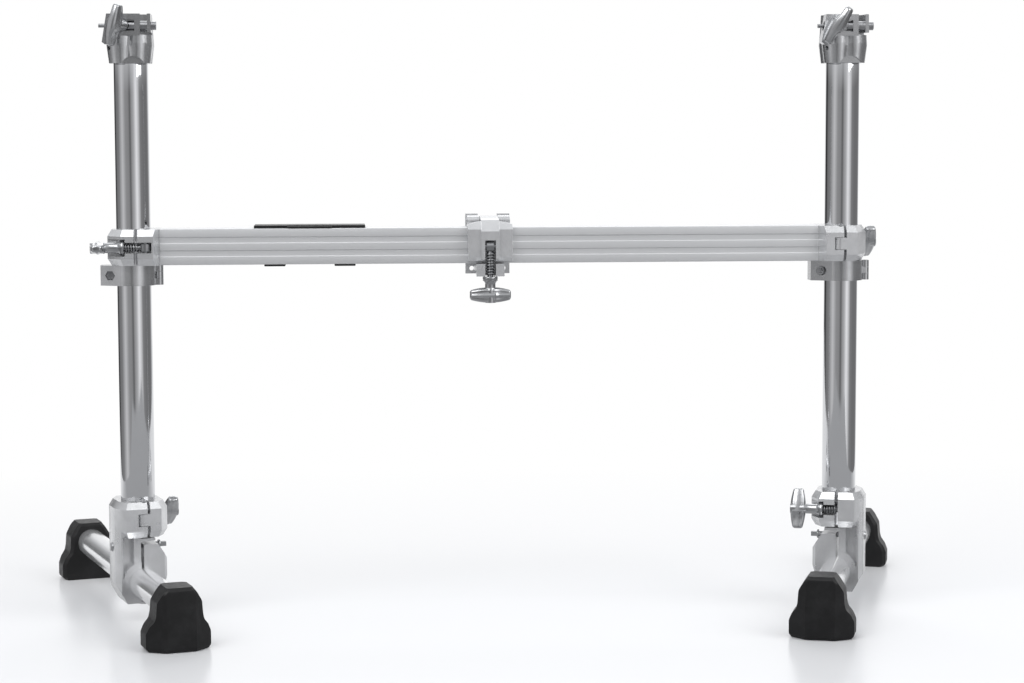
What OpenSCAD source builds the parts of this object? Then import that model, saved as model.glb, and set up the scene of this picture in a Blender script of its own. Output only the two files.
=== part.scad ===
// Front frame of a drum rack: two chromed posts, a grooved square crossbar, hinged clamps,
// stop collars, toed-in legs with rubber feet, a tube clamp on each post and one clamp on the bar.
// Millimetres, +Z up, floor at Z = 0, the player behind the frame at +Y.

/* [Posts and crossbar] */
// Distance between the two post axes
post_spacing = 800; // [640:10:1200]
// Outer diameter of a post
post_d = 38.1; // [36:0.1:40]
// Wall of a post
post_wall = 2; // [1.5:0.1:3]
// Height of the crossbar's centre line above the floor
bar_z = 421; // [320:1:520]
// Side of the square crossbar
bar_size = 40; // [38:0.5:42]
// Wall of the crossbar
bar_wall = 2.5; // [2:0.1:3.5]
// Width of each of the two grooves along an upright face of the crossbar
groove_w = 7.4; // [5:0.1:8]
// Depth of the grooves
groove_depth = 0.8; // [0.4:0.1:1.2]
// Distance from a post axis to the end of the crossbar
bar_end_gap = 30.2; // [29:0.2:34]
// Diameter of the screw boss inside the crossbar
boss_d = 15; // [13:0.5:18]
// Diameter of the screw that holds the crossbar to a clamp
end_screw_d = 8; // [6:1:9]

/* [Post clamps] */
// Height of a bar clamp, and of the upper half of a leg clamp
clamp_h = 40; // [38:1:44]
// Metal round the post on the jaw's side
jaw_wall = 8.5; // [8:0.5:12]
// Distance from the post's surface to the axes of the swing bolt and the hinge pin
pin_reach = 8; // [7.5:0.5:9]
// Metal in front of those axes
pin_cover = 7; // [6.5:0.5:8]
// Gap between body and jaw beside the swing bolt
split_gap = 4; // [3:0.5:5]
// Distance from the post axis to the middle of that gap
split_x = 4.5; // [4:0.5:5.5]
// Distance from the post axis to the hinge pin, across the gap
hinge_x = 6.5; // [6:0.5:7]
// Height of the jaw's hinge tongue
tongue_h = 13.3; // [11:0.1:15]
// Diameter of hinge and pivot pins
pin_d = 5; // [4:0.5:6]
// How far the hinge and the bolt of a leg clamp sit nearer to its jaw
leg_shift = 6.5; // [6:0.5:7]
// Distance from the post axis to the middle of a leg clamp's gap
leg_split_x = 0.5; // [0:0.5:1]
// Height of the sloping edge round a clamp
bevel_h = 7.5; // [4:0.5:9]
// Depth of that slope
bevel_in = 4.5; // [2:0.5:5]

/* [Swing bolts and wing nuts] */
// Distance from the post axis to a swing bolt's pivot
pivot_x = 15; // [14:0.5:16]
// Distance from the pivot to the washer on a post clamp
seat_reach = 23.5; // [22:0.5:26]
// Distance from the pivot to the washer on the centre clamp
centre_reach = 34; // [33:0.5:38]
// Diameter of a swing bolt
bolt_d = 7; // [6:0.5:7.5]
// Diameter of the bolt's eye
eye_d = 12; // [11:0.5:12.5]
// Height of the eye along its pivot pin
eye_h = 9; // [7:0.5:10]
// Width of the slot that the bolt swings in
slot_w = 12; // [11.5:0.5:13]
// Diameter of a spring's wire
wire_d = 1.3; // [1:0.1:1.6]
// Distance between two curls of a spring
spring_pitch = 2.8; // [2.4:0.1:3.2]
// Clearance between a bolt and the spring round it
spring_gap = 0.45; // [0.3:0.05:0.6]
// Diameter of a washer
washer_d = 17; // [16:0.5:18]
// Thickness of a washer
washer_t = 3; // [2:0.5:4]
// Diameter of a wing nut's neck
neck_d = 11.7; // [11:0.1:13]
// Length of the neck with its flared foot
neck_len = 17.5; // [15:0.5:22]
// Length of the shorter neck on the centre clamp
centre_neck_len = 9.5; // [8:0.5:14]
// Length of a wing from tip to tip
wing_span = 46; // [36:1:50]
// Width of a wing along its bolt, in the middle
wing_mid_w = 17.5; // [15:0.5:20]
// Width of a wing at its tips
wing_tip_w = 10.5; // [8:0.5:13]
// Thickness of a wing in the middle
wing_mid_t = 14.5; // [13:0.5:17]
// Thickness of a wing at its tips
wing_tip_t = 8.5; // [6:0.5:11]

/* [Stop collars] */
// Height of a stop collar
collar_h = 22.5; // [18:0.5:26]
// Metal round the post
collar_wall = 5.5; // [4.5:0.5:7]
// Distance from the post axis to the collar's bolt
collar_bolt_x = 25.5; // [25.5:0.5:33]
// Distance from the post axis to the collar's hinge pin
collar_pin_x = 28; // [27.5:0.5:30]
// Diameter of the collar's bolt
collar_bolt_d = 6; // [5:0.5:6.5]

/* [Legs] */
// Angle that each leg is turned inwards at the front
toe_angle = 17.5; // [0:0.5:30]
// Distance from the post axis to the outer face of a front foot
leg_front = 196; // [150:1:260]
// Distance from the post axis to the outer face of a rear foot
leg_rear = 300; // [220:1:380]
// Diameter of a leg tube
leg_d = 33; // [31:0.5:34]
// Wall of a leg tube
leg_wall = 2; // [1.5:0.1:3]
// Height of the leg tube's axis above the floor
leg_z = 45; // [42:0.5:52]
// Height of the leg clamp's upper half above the floor
leg_clamp_z = 97; // [94:1:110]
// Metal round the leg tube
leg_bore_wall = 7.5; // [5:0.5:8]
// Length of the leg clamp along the leg tube
leg_grip = 50; // [44:1:60]
// Diameter of the key bolt
key_d = 6; // [5:0.5:6]
// Length of a foot along the leg
foot_len = 44; // [38:1:52]
// Width of a foot at the floor
foot_w = 71; // [62:1:80]
// Rubber over the leg tube
foot_over = 7.5; // [6:0.5:10]
// Rubber behind the tube's end
foot_end = 8; // [5:0.5:12]

/* [Top clamps] */
// Height of the top clamps' lower edge above the floor
cap_z = 624; // [560:1:900]
// Height of the flared socket that holds the post
socket_h = 30; // [27:1:40]
// Height of the split ring above the socket
ring_h = 24; // [20:1:28]
// Diameter of the socket's lower edge
socket_low_d = 46; // [44:0.5:48]
// Diameter of the socket's upper edge
socket_top_d = 51; // [49:0.5:55]
// Diameter of the down tube that the ring holds
tube_d = 25.4; // [22:0.1:26]
// Distance from the post axis to the cross barrel
barrel_y = 19.5; // [19:0.25:20]
// Diameter of the cross barrel
barrel_d = 10.5; // [9:0.5:10.5]
// Angle of the wing bolt, turned outwards from straight ahead
cap_bolt_angle = 30; // [10:1:35]
// Diameter of the wing bolt's shank
cap_bolt_d = 6; // [5:0.5:6]
// Distance from the barrel to the middle of the wing
cap_wing_reach = 28; // [25:0.5:32]

/* [Centre clamp] */
// Place of the centre clamp along the crossbar, from the middle
centre_x = -3; // [-200:1:280]
// Width of the centre clamp along the crossbar
centre_w = 50; // [46:1:60]
// Thickness of its plates
centre_plate = 8; // [7:0.5:10]
// Distance between the four accessory holes along the bar
pad_dx = 36; // [34:1:38]
// Distance between the four accessory holes, up and down
pad_dz = 56; // [56:1:60]
// Diameter of the accessory holes
pad_hole_d = 5.4; // [5:0.1:5.8]

/* [Cover plate] */
// Place of the plate's middle along the crossbar
plate_x = -204; // [-250:1:-100]
// Length of the plate
plate_w = 124; // [90:1:160]
// Thickness of the plate behind the bar
plate_t = 2.5; // [2:0.5:4]
// Thickness of the lip on top of the bar
lip_t = 3.4; // [2:0.2:5]

/* [Fits] */
// Radial clearance of pins, bolts and sliding tubes
run_fit = 0.08; // [0.05:0.01:0.1]
// Gap between pieces that only face each other
face_gap = 0.3; // [0.2:0.05:0.5]
// Pitch of the wing nuts' thread
thread_pitch = 1.25; // [1:0.05:1.5]
// Turns that a wing nut is backed off
nut_turns = 2.75; // [1:0.25:2.75]
// Angle that a jaw opens when its nut is backed off
jaw_swing = 3; // [1:0.5:3]

/* [Hidden] */
$fn = 64;

LEFT = -1;
RIGHT = 1;
EPS = 0.01;
FAR = 200;

post_r = post_d / 2;
leg_r = leg_d / 2;
tube_r = tube_d / 2;
// the frame's outline is centred on Y = 0, so the posts stand in front of it
post_y = -(leg_rear - leg_front) / 2 * cos(toe_angle);

pin_y = post_r + pin_reach;
front_y = pin_y + pin_cover;
jaw_x = post_r + jaw_wall;
body_x = jaw_x - 4;
knuckle_r = front_y - pin_y;
tongue_gap = 0.4;
bolt_r = bolt_d / 2;
slot_back = pin_y - slot_w / 2 - 0.5;
seat_r = washer_d / 2 + 1;
nut_travel = nut_turns * thread_pitch;

spring_mean_r = bolt_r + spring_gap + wire_d / 2;
centre_pivot_y = bar_size / 2 + 7;
centre_pivot_z = -1;

chrome = [0.80, 0.81, 0.82];
cast = [0.68, 0.69, 0.70];
satin = [0.76, 0.77, 0.78];
steel = [0.55, 0.56, 0.58];
black = [0.07, 0.07, 0.075];

function unit(v) = v / norm(v);
function outward(a, b) = let(d = unit(b - a)) [d[1], -d[0]];

// places

module on_post(side) {
    translate([side * post_spacing / 2, post_y, 0])
        children();
}

module on_bar() {
    translate([0, post_y, bar_z])
        children();
}

module at_bar_clamp(side) {
    on_post(side)
        translate([0, 0, bar_z - clamp_h / 2])
            rotate(side == LEFT ? 0 : 180)
                children();
}

module at_collar(side) {
    on_post(side)
        translate([0, 0, bar_z - clamp_h / 2 - face_gap - collar_h / 2])
            rotate([side == LEFT ? 0 : 180, 0, 0])
                children();
}

module along_leg(side) {
    on_post(side)
        rotate(-side * toe_angle)
            children();
}

module at_leg_clamp(side) {
    along_leg(side)
        rotate(side == LEFT ? 180 : 0)
            children();
}

// a frame whose +Z runs out along the bolt of a post clamp, from its pivot
module along_swing_bolt(shift = 0) {
    translate([pivot_x - shift, -pin_y, clamp_h / 2])
        rotate([0, -90, 0])
            children();
}

// the same for the centre clamp, whose bolt hangs down
module along_centre_bolt() {
    on_bar()
        translate([centre_x, -centre_pivot_y, centre_pivot_z])
            rotate([180, 0, 0])
                children();
}

// swing bolts, springs, washers and wing nuts, each along +Z from the pivot

function bolt_end(reach, neck) = reach + washer_t + neck + wing_mid_w / 2;

module swing_bolt(reach, neck) {
    difference() {
        union() {
            rotate([0, 90, 0])
                cylinder(d = eye_d, h = eye_h, center = true);
            cylinder(r = bolt_r, h = bolt_end(reach, neck));
        }
        rotate([0, 90, 0])
            cylinder(r = pin_d / 2 + run_fit, h = eye_h + 2, center = true);
    }
}

function spring_start(reach) = eye_d / 2 + face_gap;
function spring_length(reach) = reach - face_gap - spring_start(reach);
function spring_turns(reach) = floor((spring_length(reach) - 2 * wire_d) / spring_pitch);
// the wire leaves each seat squarely for one wire diameter, and climbs evenly in eight steps a curl
function spring_path(reach) = let(
    turns = spring_turns(reach),
    steps = turns * 8,
    rise = spring_length(reach) - 2 * wire_d,
    r = spring_mean_r
) concat(
    [[r, 0, 0]],
    [for (k = [0:steps]) [r * cos(45 * k), r * sin(45 * k), wire_d + rise * k / steps]],
    [[r, 0, spring_length(reach)]]
);
function path_gap(path) = min([
    for (i = [0:len(path) - 5], j = [i + 4:len(path) - 1])
        norm(path[i] - path[j])
]) - wire_d;

module wire_tube(path, sides = 6) {
    n = len(path);
    rings = [
        for (i = [0:n - 1])
            let(along = unit(path[min(i + 1, n - 1)] - path[max(i - 1, 0)]),
                out = unit([path[i][0], path[i][1], 0]),
                side = unit(cross(along, out)))
            for (k = [0:sides - 1])
                path[i] + wire_d / 2 * (cos(360 * k / sides) * cross(side, along) + sin(360 * k / sides) * side)
    ];
    walls = [
        for (i = [0:n - 2], k = [0:sides - 1], half = [0, 1])
            let(a = i * sides + k, b = i * sides + (k + 1) % sides)
            half == 0 ? [a, b, a + sides] : [b, b + sides, a + sides]
    ];
    first = [for (k = [1:sides - 2]) [0, k + 1, k]];
    last = [for (k = [1:sides - 2]) (n - 1) * sides * [1, 1, 1] + [0, k, k + 1]];
    polyhedron(rings, concat(walls, first, last));
}

module bolt_spring(reach) {
    path = spring_path(reach);
    echo(spring_reach = reach, turns = spring_turns(reach), least_gap = path_gap(path));
    translate([0, 0, spring_start(reach)])
        wire_tube(path);
}

module seat_washer(reach) {
    translate([0, 0, reach])
        difference() {
            cylinder(d = washer_d, h = washer_t);
            translate([0, 0, -1])
                cylinder(r = bolt_r + run_fit, h = washer_t + 2);
        }
}

// half the width of a barrel-shaped wing at a fraction of its half length
function barrel(mid, tip, along) = (tip + (mid - tip) * (1 - along * along)) / 2;
function barrel_outline(mid, tip, half, steps = 8) = concat(
    [for (i = [0:steps]) let(u = 2 * i / steps - 1) [u * half, -barrel(mid, tip, u)]],
    [for (i = [0:steps]) let(u = 1 - 2 * i / steps) [u * half, barrel(mid, tip, u)]]
);

// a cast wing lying across Z from z = 0 to wing_mid_w, its tips along X
module wing_shape() {
    half = wing_span / 2;
    translate([0, 0, wing_mid_w / 2])
        intersection() {
            rotate([90, 0, 0])
                linear_extrude(wing_mid_t + 2, center = true)
                    polygon(barrel_outline(wing_mid_w, wing_tip_w, half));
            linear_extrude(wing_mid_w + 2, center = true)
                polygon(barrel_outline(wing_mid_t, wing_tip_t, half));
        }
}

module wing_nut(reach, neck, turn) {
    translate([0, 0, reach + washer_t + face_gap / 3])
        difference() {
            union() {
                cylinder(d1 = washer_d, d2 = neck_d, h = 5);
                cylinder(d = neck_d, h = neck);
                translate([0, 0, neck - 1])
                    rotate(turn)
                        wing_shape();
            }
            translate([0, 0, -1])
                cylinder(r = bolt_r + run_fit, h = neck + wing_mid_w / 2 + nut_travel + 1);
        }
}

// post clamps: the jaw at -X, the swing bolt at -Y, the hinge at +Y, standing on Z = 0.
// shift is how far the hinge and the bolt sit nearer to the jaw, split the middle of the gap.

// everything inside one side of a plan outline, its top and bottom edges bevelled
module bevelled_side(from, to) {
    normal = outward(from, to);
    reach = normal * from;
    rotate(atan2(normal[1], normal[0]))
        rotate([90, 0, 0])
            linear_extrude(FAR, center = true)
                polygon([
                    [-FAR, 0], [reach - bevel_in, 0], [reach + bevel_in / 4, bevel_h * 5 / 4],
                    [reach + bevel_in / 4, clamp_h - bevel_h * 5 / 4], [reach - bevel_in, clamp_h],
                    [-FAR, clamp_h]
                ]);
}

// a block with the plan outline, bevelled along the listed sides
module bevelled_block(plan, sides) {
    intersection() {
        linear_extrude(clamp_h)
            polygon(plan);
        intersection_for (i = sides)
            bevelled_side(plan[i], plan[i + 1]);
    }
}

// the slot for the bolt and its spring, open to the front
module bolt_slot(x_to) {
    translate([-FAR, -FAR, (clamp_h - slot_w) / 2])
        cube([FAR + x_to, FAR - slot_back, slot_w]);
}

// the corner that the washer and the nut swing through, rounded about the pivot
module seat_pocket(shift) {
    difference() {
        translate([-FAR, -FAR, clamp_h / 2 - seat_r])
            cube([FAR + pivot_x - shift - seat_reach + 3, FAR - pin_y + seat_r + 0.2, 2 * seat_r]);
        translate([pivot_x - shift, -pin_y, -1])
            cylinder(r = seat_reach - face_gap, h = clamp_h + 2);
    }
}

module post_hole() {
    translate([0, 0, -1])
        cylinder(r = post_r + run_fit, h = clamp_h + 2);
}

// the jaw's outline, anticlockwise from the bolt side
function jaw_plan(shift, split, outer, hinge_corner) = let(
    hinge_edge = hinge_x - shift - 6,
    face_edge = -12 - shift
) [
    [hinge_edge, 1], [hinge_edge, front_y], [face_edge, front_y], [-outer, hinge_corner],
    [-outer, -front_y / 2], [face_edge, -front_y], [split - split_gap / 2, -front_y],
    [split - split_gap / 2, 0]
];

module clamp_jaw(shift, split, outer, hinge_corner) {
    plan = jaw_plan(shift, split, outer, hinge_corner);
    pin_x = hinge_x - shift;
    difference() {
        union() {
            bevelled_block(plan, [1:5]);
            translate([pin_x, pin_y, (clamp_h - tongue_h) / 2])
                cylinder(r = knuckle_r, h = tongue_h);
            translate([pin_x - 8, pin_y - 4, (clamp_h - tongue_h) / 2])
                cube([8, knuckle_r + 4, tongue_h]);
        }
        post_hole();
        // a flat that lets the bolt side swing clear of the post
        if (split > split_gap)
            translate([-3, -post_r - 0.45, -1])
                cube([FAR, post_r, clamp_h + 2]);
        bolt_slot(FAR);
        seat_pocket(shift);
        translate([pin_x, pin_y, -1])
            cylinder(r = pin_d / 2 + run_fit, h = clamp_h + 2);
    }
}

// what a clamp's fixed half loses to the post, the jaw's tongue and the hinge pin
module fixed_half_cuts(shift) {
    pin_x = hinge_x - shift;
    post_hole();
    translate([-FAR, pin_y - knuckle_r - tongue_gap, (clamp_h - tongue_h) / 2 - tongue_gap])
        cube([FAR + pin_x + knuckle_r + tongue_gap, FAR, tongue_h + 2 * tongue_gap]);
    translate([pin_x, pin_y, -1])
        cylinder(d = pin_d, h = clamp_h + 2);
}

module bar_clamp_body() {
    low_corner = bar_end_gap - 6.5;
    difference() {
        bevelled_block([
            [split_x + split_gap / 2, -front_y], [low_corner, -front_y], [bar_end_gap, -bar_size / 2],
            [bar_end_gap, bar_size / 2], [low_corner, front_y], [hinge_x - 3, front_y],
            [hinge_x - 3, 1], [split_x + split_gap / 2, 0]
        ], [0, 4]);
        fixed_half_cuts(0);
        bolt_slot(pivot_x + eye_d / 2 + 1);
        translate([pivot_x, -pin_y, 3])
            cylinder(d = pin_d, h = clamp_h);
        // countersunk hole for the crossbar's end screw, sunk from the post side
        translate([0, 0, clamp_h / 2])
            rotate([0, 90, 0]) {
                cylinder(d = end_screw_d, h = FAR);
                cylinder(d = 2 * end_screw_d, h = post_r + 1.2);
                translate([0, 0, post_r + 1.2])
                    cylinder(d1 = 2 * end_screw_d, d2 = end_screw_d, h = end_screw_d / 2);
            }
    }
}

// a riveted hinge pin with its round head on top
module hinge_pin(shift) {
    translate([hinge_x - shift, pin_y, 0.2]) {
        cylinder(d = pin_d, h = clamp_h);
        translate([0, 0, clamp_h - 0.2])
            cylinder(d1 = pin_d + 3, d2 = pin_d, h = 1.6);
    }
}

module bar_clamp(side) {
    color(cast)
        at_bar_clamp(side)
            bar_clamp_body();
}

module bar_clamp_pins() {
    color(steel)
        for (side = [LEFT, RIGHT])
            at_bar_clamp(side) {
                hinge_pin(0);
                translate([pivot_x, -pin_y, 3])
                    cylinder(d = pin_d, h = clamp_h - 3);
            }
}

module bar_end_screws() {
    color(steel)
        for (side = [LEFT, RIGHT])
            at_bar_clamp(side)
                translate([post_r + 1.2, 0, clamp_h / 2])
                    rotate([0, 90, 0]) {
                        cylinder(d1 = 2 * end_screw_d, d2 = end_screw_d, h = end_screw_d / 2);
                        cylinder(d = end_screw_d, h = bar_end_gap - post_r + 22);
                    }
}

module bar_jaw(side) {
    color(cast)
        at_bar_clamp(side)
            clamp_jaw(0, split_x, jaw_x, 4);
}

module bar_bolt(side) {
    color(steel)
        at_bar_clamp(side)
            along_swing_bolt()
                swing_bolt(seat_reach, neck_len);
}

module bar_spring(side) {
    color(steel)
        at_bar_clamp(side)
            along_swing_bolt()
                bolt_spring(seat_reach);
}

module bar_washer(side) {
    color(chrome)
        at_bar_clamp(side)
            along_swing_bolt()
                seat_washer(seat_reach);
}

module bar_wing_nut(side) {
    color(chrome)
        at_bar_clamp(side)
            along_swing_bolt()
                wing_nut(seat_reach, neck_len, side == LEFT ? 90 : 45);
}

// the crossbar and its cover plate

module crossbar() {
    half = bar_size / 2;
    flat = groove_w / 2;
    g = groove_depth;
    length = post_spacing - 2 * bar_end_gap;
    inner = bar_size - 2 * bar_wall;
    color(satin)
        on_bar()
            rotate([90, 0, 90])
                linear_extrude(length, center = true)
                    difference() {
                        square(bar_size, center = true);
                        for (face = [-1, 1], row = [-1, 1])
                            translate([face * half, row * groove_w])
                                polygon([
                                    [-g, -groove_w / 2 + g], [-g, groove_w / 2 - g],
                                    [g, groove_w / 2 + g], [g, -groove_w / 2 - g]
                                ]);
                        difference() {
                            square(inner, center = true);
                            circle(d = boss_d);
                            for (a = [45, 135])
                                rotate(a)
                                    square([2 * inner, 2], center = true);
                        }
                        circle(d = end_screw_d);
                    }
}

module cover_plate() {
    half = bar_size / 2;
    low_tab = 2.2;
    color(black)
        on_bar()
            translate([plate_x, 0, 0]) {
                translate([-plate_w / 2, half, -half - low_tab])
                    cube([plate_w, plate_t, bar_size + low_tab + lip_t]);
                translate([-plate_w / 2, -half + 5, half])
                    cube([plate_w, bar_size - 5 + EPS, lip_t]);
                translate([-plate_w / 5, -half, half])
                    cube([plate_w * 0.4, 6, lip_t - 0.8]);
                for (side = [-1, 1])
                    translate([side * plate_w * 0.315 - plate_w * 0.095, -half + 1, -half - low_tab])
                        cube([plate_w * 0.19, bar_size, low_tab]);
            }
}

// stop collars: bolt lugs at -X, hinge at +X, two halves meeting on Y = 0

module collar_half(front) {
    ring_r = post_r + collar_wall;
    lug_x = collar_bolt_x + 11;
    knuckle = collar_pin_x - post_r - 4.5;
    third = collar_h / 3;
    lug_gap = 0.8;
    difference() {
        union() {
            intersection() {
                cylinder(r = ring_r, h = collar_h, center = true);
                translate([-FAR / 2, front ? -FAR : 0, -FAR / 2])
                    cube(FAR);
            }
            mirror([0, front ? 0 : 1, 0])
                linear_extrude(collar_h, center = true)
                    polygon([[-lug_x, 0], [-lug_x, -9], [-14, -20], [-14, 0]]);
            for (level = front ? [-1, 1] : [0])
                translate([collar_pin_x, 0, level * third]) {
                    cylinder(r = knuckle, h = third - 0.2, center = true);
                    translate([-6, front ? -knuckle : 0, -third / 2 + 0.1])
                        cube([6, knuckle, third - 0.2]);
                }
        }
        cylinder(r = post_r + run_fit, h = collar_h + 2, center = true);
        // gaps where the halves meet
        translate([-FAR, -lug_gap / 2, -FAR / 2])
            cube([FAR, lug_gap, FAR]);
        translate([post_r - 2, -lug_gap / 2, -FAR / 2])
            cube([ring_r - post_r + 2.2, lug_gap, FAR]);
        // room for the other half's knuckles
        for (level = front ? [0] : [-1, 1])
            translate([collar_pin_x, 0, level * third])
                cylinder(r = knuckle + face_gap, h = third + 0.02, center = true);
        translate([collar_pin_x, 0, 0])
            cylinder(d = pin_d - 1, h = collar_h + 2, center = true);
        translate([-collar_bolt_x, 0, 0])
            rotate([90, 0, 0]) {
                cylinder(d = collar_bolt_d, h = FAR, center = true);
                translate([0, 0, 5.5])
                    cylinder(d = 11.4, h = FAR, $fn = 6);
                translate([0, 0, -FAR - 5.5])
                    cylinder(d = 11, h = FAR);
            }
    }
}

module collar_front(side) {
    color(cast)
        at_collar(side)
            collar_half(true);
}

module collar_rear(side) {
    color(cast)
        at_collar(side)
            collar_half(false);
}

module collar_hardware(side) {
    color(steel)
        at_collar(side) {
            translate([collar_pin_x, 0, 0])
                cylinder(d = pin_d - 1, h = collar_h - 0.4, center = true);
            translate([-collar_bolt_x, 0, 0])
                rotate([90, 0, 0]) {
                    // cap screw from the rear, hexagon nut in the front lug
                    difference() {
                        union() {
                            translate([0, 0, -9.5])
                                cylinder(d = 10.4, h = 4);
                            translate([0, 0, -9])
                                cylinder(d = collar_bolt_d, h = 18);
                        }
                        translate([0, 0, -10])
                            cylinder(d = 5.8, h = 3.2, $fn = 6);
                    }
                    translate([0, 0, 5.5])
                        difference() {
                            cylinder(d = 11.2, h = 4, $fn = 6);
                            translate([0, 0, -1])
                                cylinder(d = collar_bolt_d, h = 6);
                        }
                }
        }
}

// posts

module post(side) {
    low = leg_clamp_z + face_gap;
    color(chrome)
        on_post(side)
            translate([0, 0, low])
                difference() {
                    cylinder(r = post_r, h = cap_z + socket_h - 4 - low);
                    translate([0, 0, -1])
                        cylinder(r = post_r - post_wall, h = cap_z);
                }
}

// top clamps

// four rounded lobes round the post, wider at the top
module cap_lobes(z, height, low_half, top_half) {
    spread = 9;
    translate([0, 0, z]) {
        for (sx = [-1, 1], sy = [-1, 1])
            translate([sx * spread, sy * spread, 0])
                cylinder(r1 = low_half - spread, r2 = top_half - spread, h = height);
        cylinder(r1 = low_half - 1.5, r2 = top_half - 3, h = height);
    }
}

module cap_body() {
    low_half = socket_low_d / 2;
    wide_half = socket_top_d / 2;
    total = socket_h + ring_h;
    barrel_z = total - ring_h / 2 - 1;
    ear_x = 20.3;
    slit_x = 12.5;
    slit_z = socket_h + 1;
    difference() {
        union() {
            cap_lobes(0, socket_h * 0.65, low_half, wide_half);
            cap_lobes(socket_h * 0.65, total - socket_h * 0.65, wide_half, low_half + 0.5);
            // front cheeks that hold the cross barrel
            translate([0, -barrel_y + 9.5, 0])
                rotate([90, 0, 0])
                    linear_extrude(15)
                        polygon([
                            [24.5, slit_z + 1], [24, total], [-24, total], [-29.3, slit_z - 8],
                            [-26, slit_z - 10.5], [-15, slit_z - 10.5], [-15, slit_z - 1],
                            [slit_x, slit_z - 1], [slit_x, slit_z + 1]
                        ]);
        }
        // post socket, and the hole for the down tube
        translate([0, 0, -1])
            cylinder(r = post_r + run_fit, h = socket_h - 4 + face_gap + 1);
        cylinder(r = tube_r + run_fit, h = total + 1);
        // barrel bore, with a window in front of it
        translate([0, -barrel_y, barrel_z])
            rotate([0, 90, 0])
                cylinder(d = barrel_d + 2 * run_fit, h = FAR, center = true);
        translate([-13.5, -FAR, barrel_z - 6.5])
            cube([19.9, FAR - barrel_y, 13]);
        // slit that lets the ring close, and the cut that frees its ear
        translate([slit_x, -FAR, slit_z])
            cube([ear_x - slit_x, FAR - 3, FAR]);
        translate([slit_x, -FAR, slit_z])
            cube([FAR, FAR - 3, 2.4]);
        // set screw hole into the socket
        rotate(-50)
            translate([0, 0, socket_h * 0.55])
                rotate([90, 0, 0])
                    cylinder(d = 4.5, h = FAR);
        // scooped arch at the foot of the front cusp
        translate([4, -low_half - 6, -5])
            rotate([-90, 0, 0])
                cylinder(r = 13, h = 8.2);
    }
}

module cap(side) {
    color(cast)
        on_post(side)
            translate([0, 0, cap_z])
                cap_body();
}

module cap_barrel(side) {
    color(steel)
        on_post(side)
            translate([0, -barrel_y, cap_z + socket_h + ring_h / 2 - 1]) {
                difference() {
                    rotate([0, 90, 0])
                        cylinder(d = barrel_d, h = 46, center = true);
                    rotate([90, 0, -cap_bolt_angle])
                        cylinder(d = cap_bolt_d + 2 * run_fit, h = FAR, center = true);
                }
                // stop pin on the left, round knob on the right
                rotate([0, 90, 0]) {
                    translate([0, 0, -33])
                        cylinder(d = 4.5, h = 12);
                    translate([0, 0, 22.9])
                        cylinder(d = 9.5, h = 7);
                }
            }
}

module cap_wing_bolt(side) {
    shank_back = barrel_d / 2 - 1.5;
    wing_start = cap_wing_reach - wing_mid_w / 2;
    // the neck's rim stays clear of the barrel
    neck_start = (barrel_d / 2 + face_gap + neck_d / 2 * sin(cap_bolt_angle)) / cos(cap_bolt_angle);
    color(chrome)
        on_post(side)
            translate([0, -barrel_y, cap_z + socket_h + ring_h / 2 - 1])
                rotate([90, 0, -cap_bolt_angle]) {
                    translate([0, 0, -shank_back])
                        cylinder(d = cap_bolt_d, h = shank_back + cap_wing_reach);
                    translate([0, 0, neck_start])
                        cylinder(d = neck_d, h = wing_start - neck_start + 1);
                    translate([0, 0, wing_start])
                        rotate(90 - (side == LEFT ? 15 : 34))
                            wing_shape();
                }
}

// leg clamps

leg_body_x = post_r + 11;
leg_half = leg_grip / 2;
leg_stud_x = 16;
leg_shelf_z = leg_clamp_z - 9;
key_z = leg_clamp_z - 13.2;

// outline of the upper half, anticlockwise from the bolt side
function leg_body_plan() = let(
    bolt_edge = leg_split_x + split_gap / 2,
    hinge_edge = hinge_x - leg_shift - 3,
    face_edge = leg_body_x - 8.8,
    corner = front_y - 19
) [
    [bolt_edge, -front_y], [face_edge, -front_y], [leg_body_x, -corner], [leg_body_x, corner],
    [face_edge, front_y], [hinge_edge, front_y], [hinge_edge, 1], [bolt_edge, 0]
];

// the casting's outline seen along the leg tube
module leg_front_profile(low) {
    polygon([
        [-9, low], [leg_body_x - 11, low], [leg_body_x, low + 20], [leg_body_x, leg_clamp_z + 10],
        [leg_split_x + split_gap / 2, leg_clamp_z + 10], [leg_split_x + split_gap / 2, leg_shelf_z + 4],
        [2.8, leg_shelf_z + 4], [2.8, leg_z], [-9, leg_z]
    ]);
}

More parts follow.
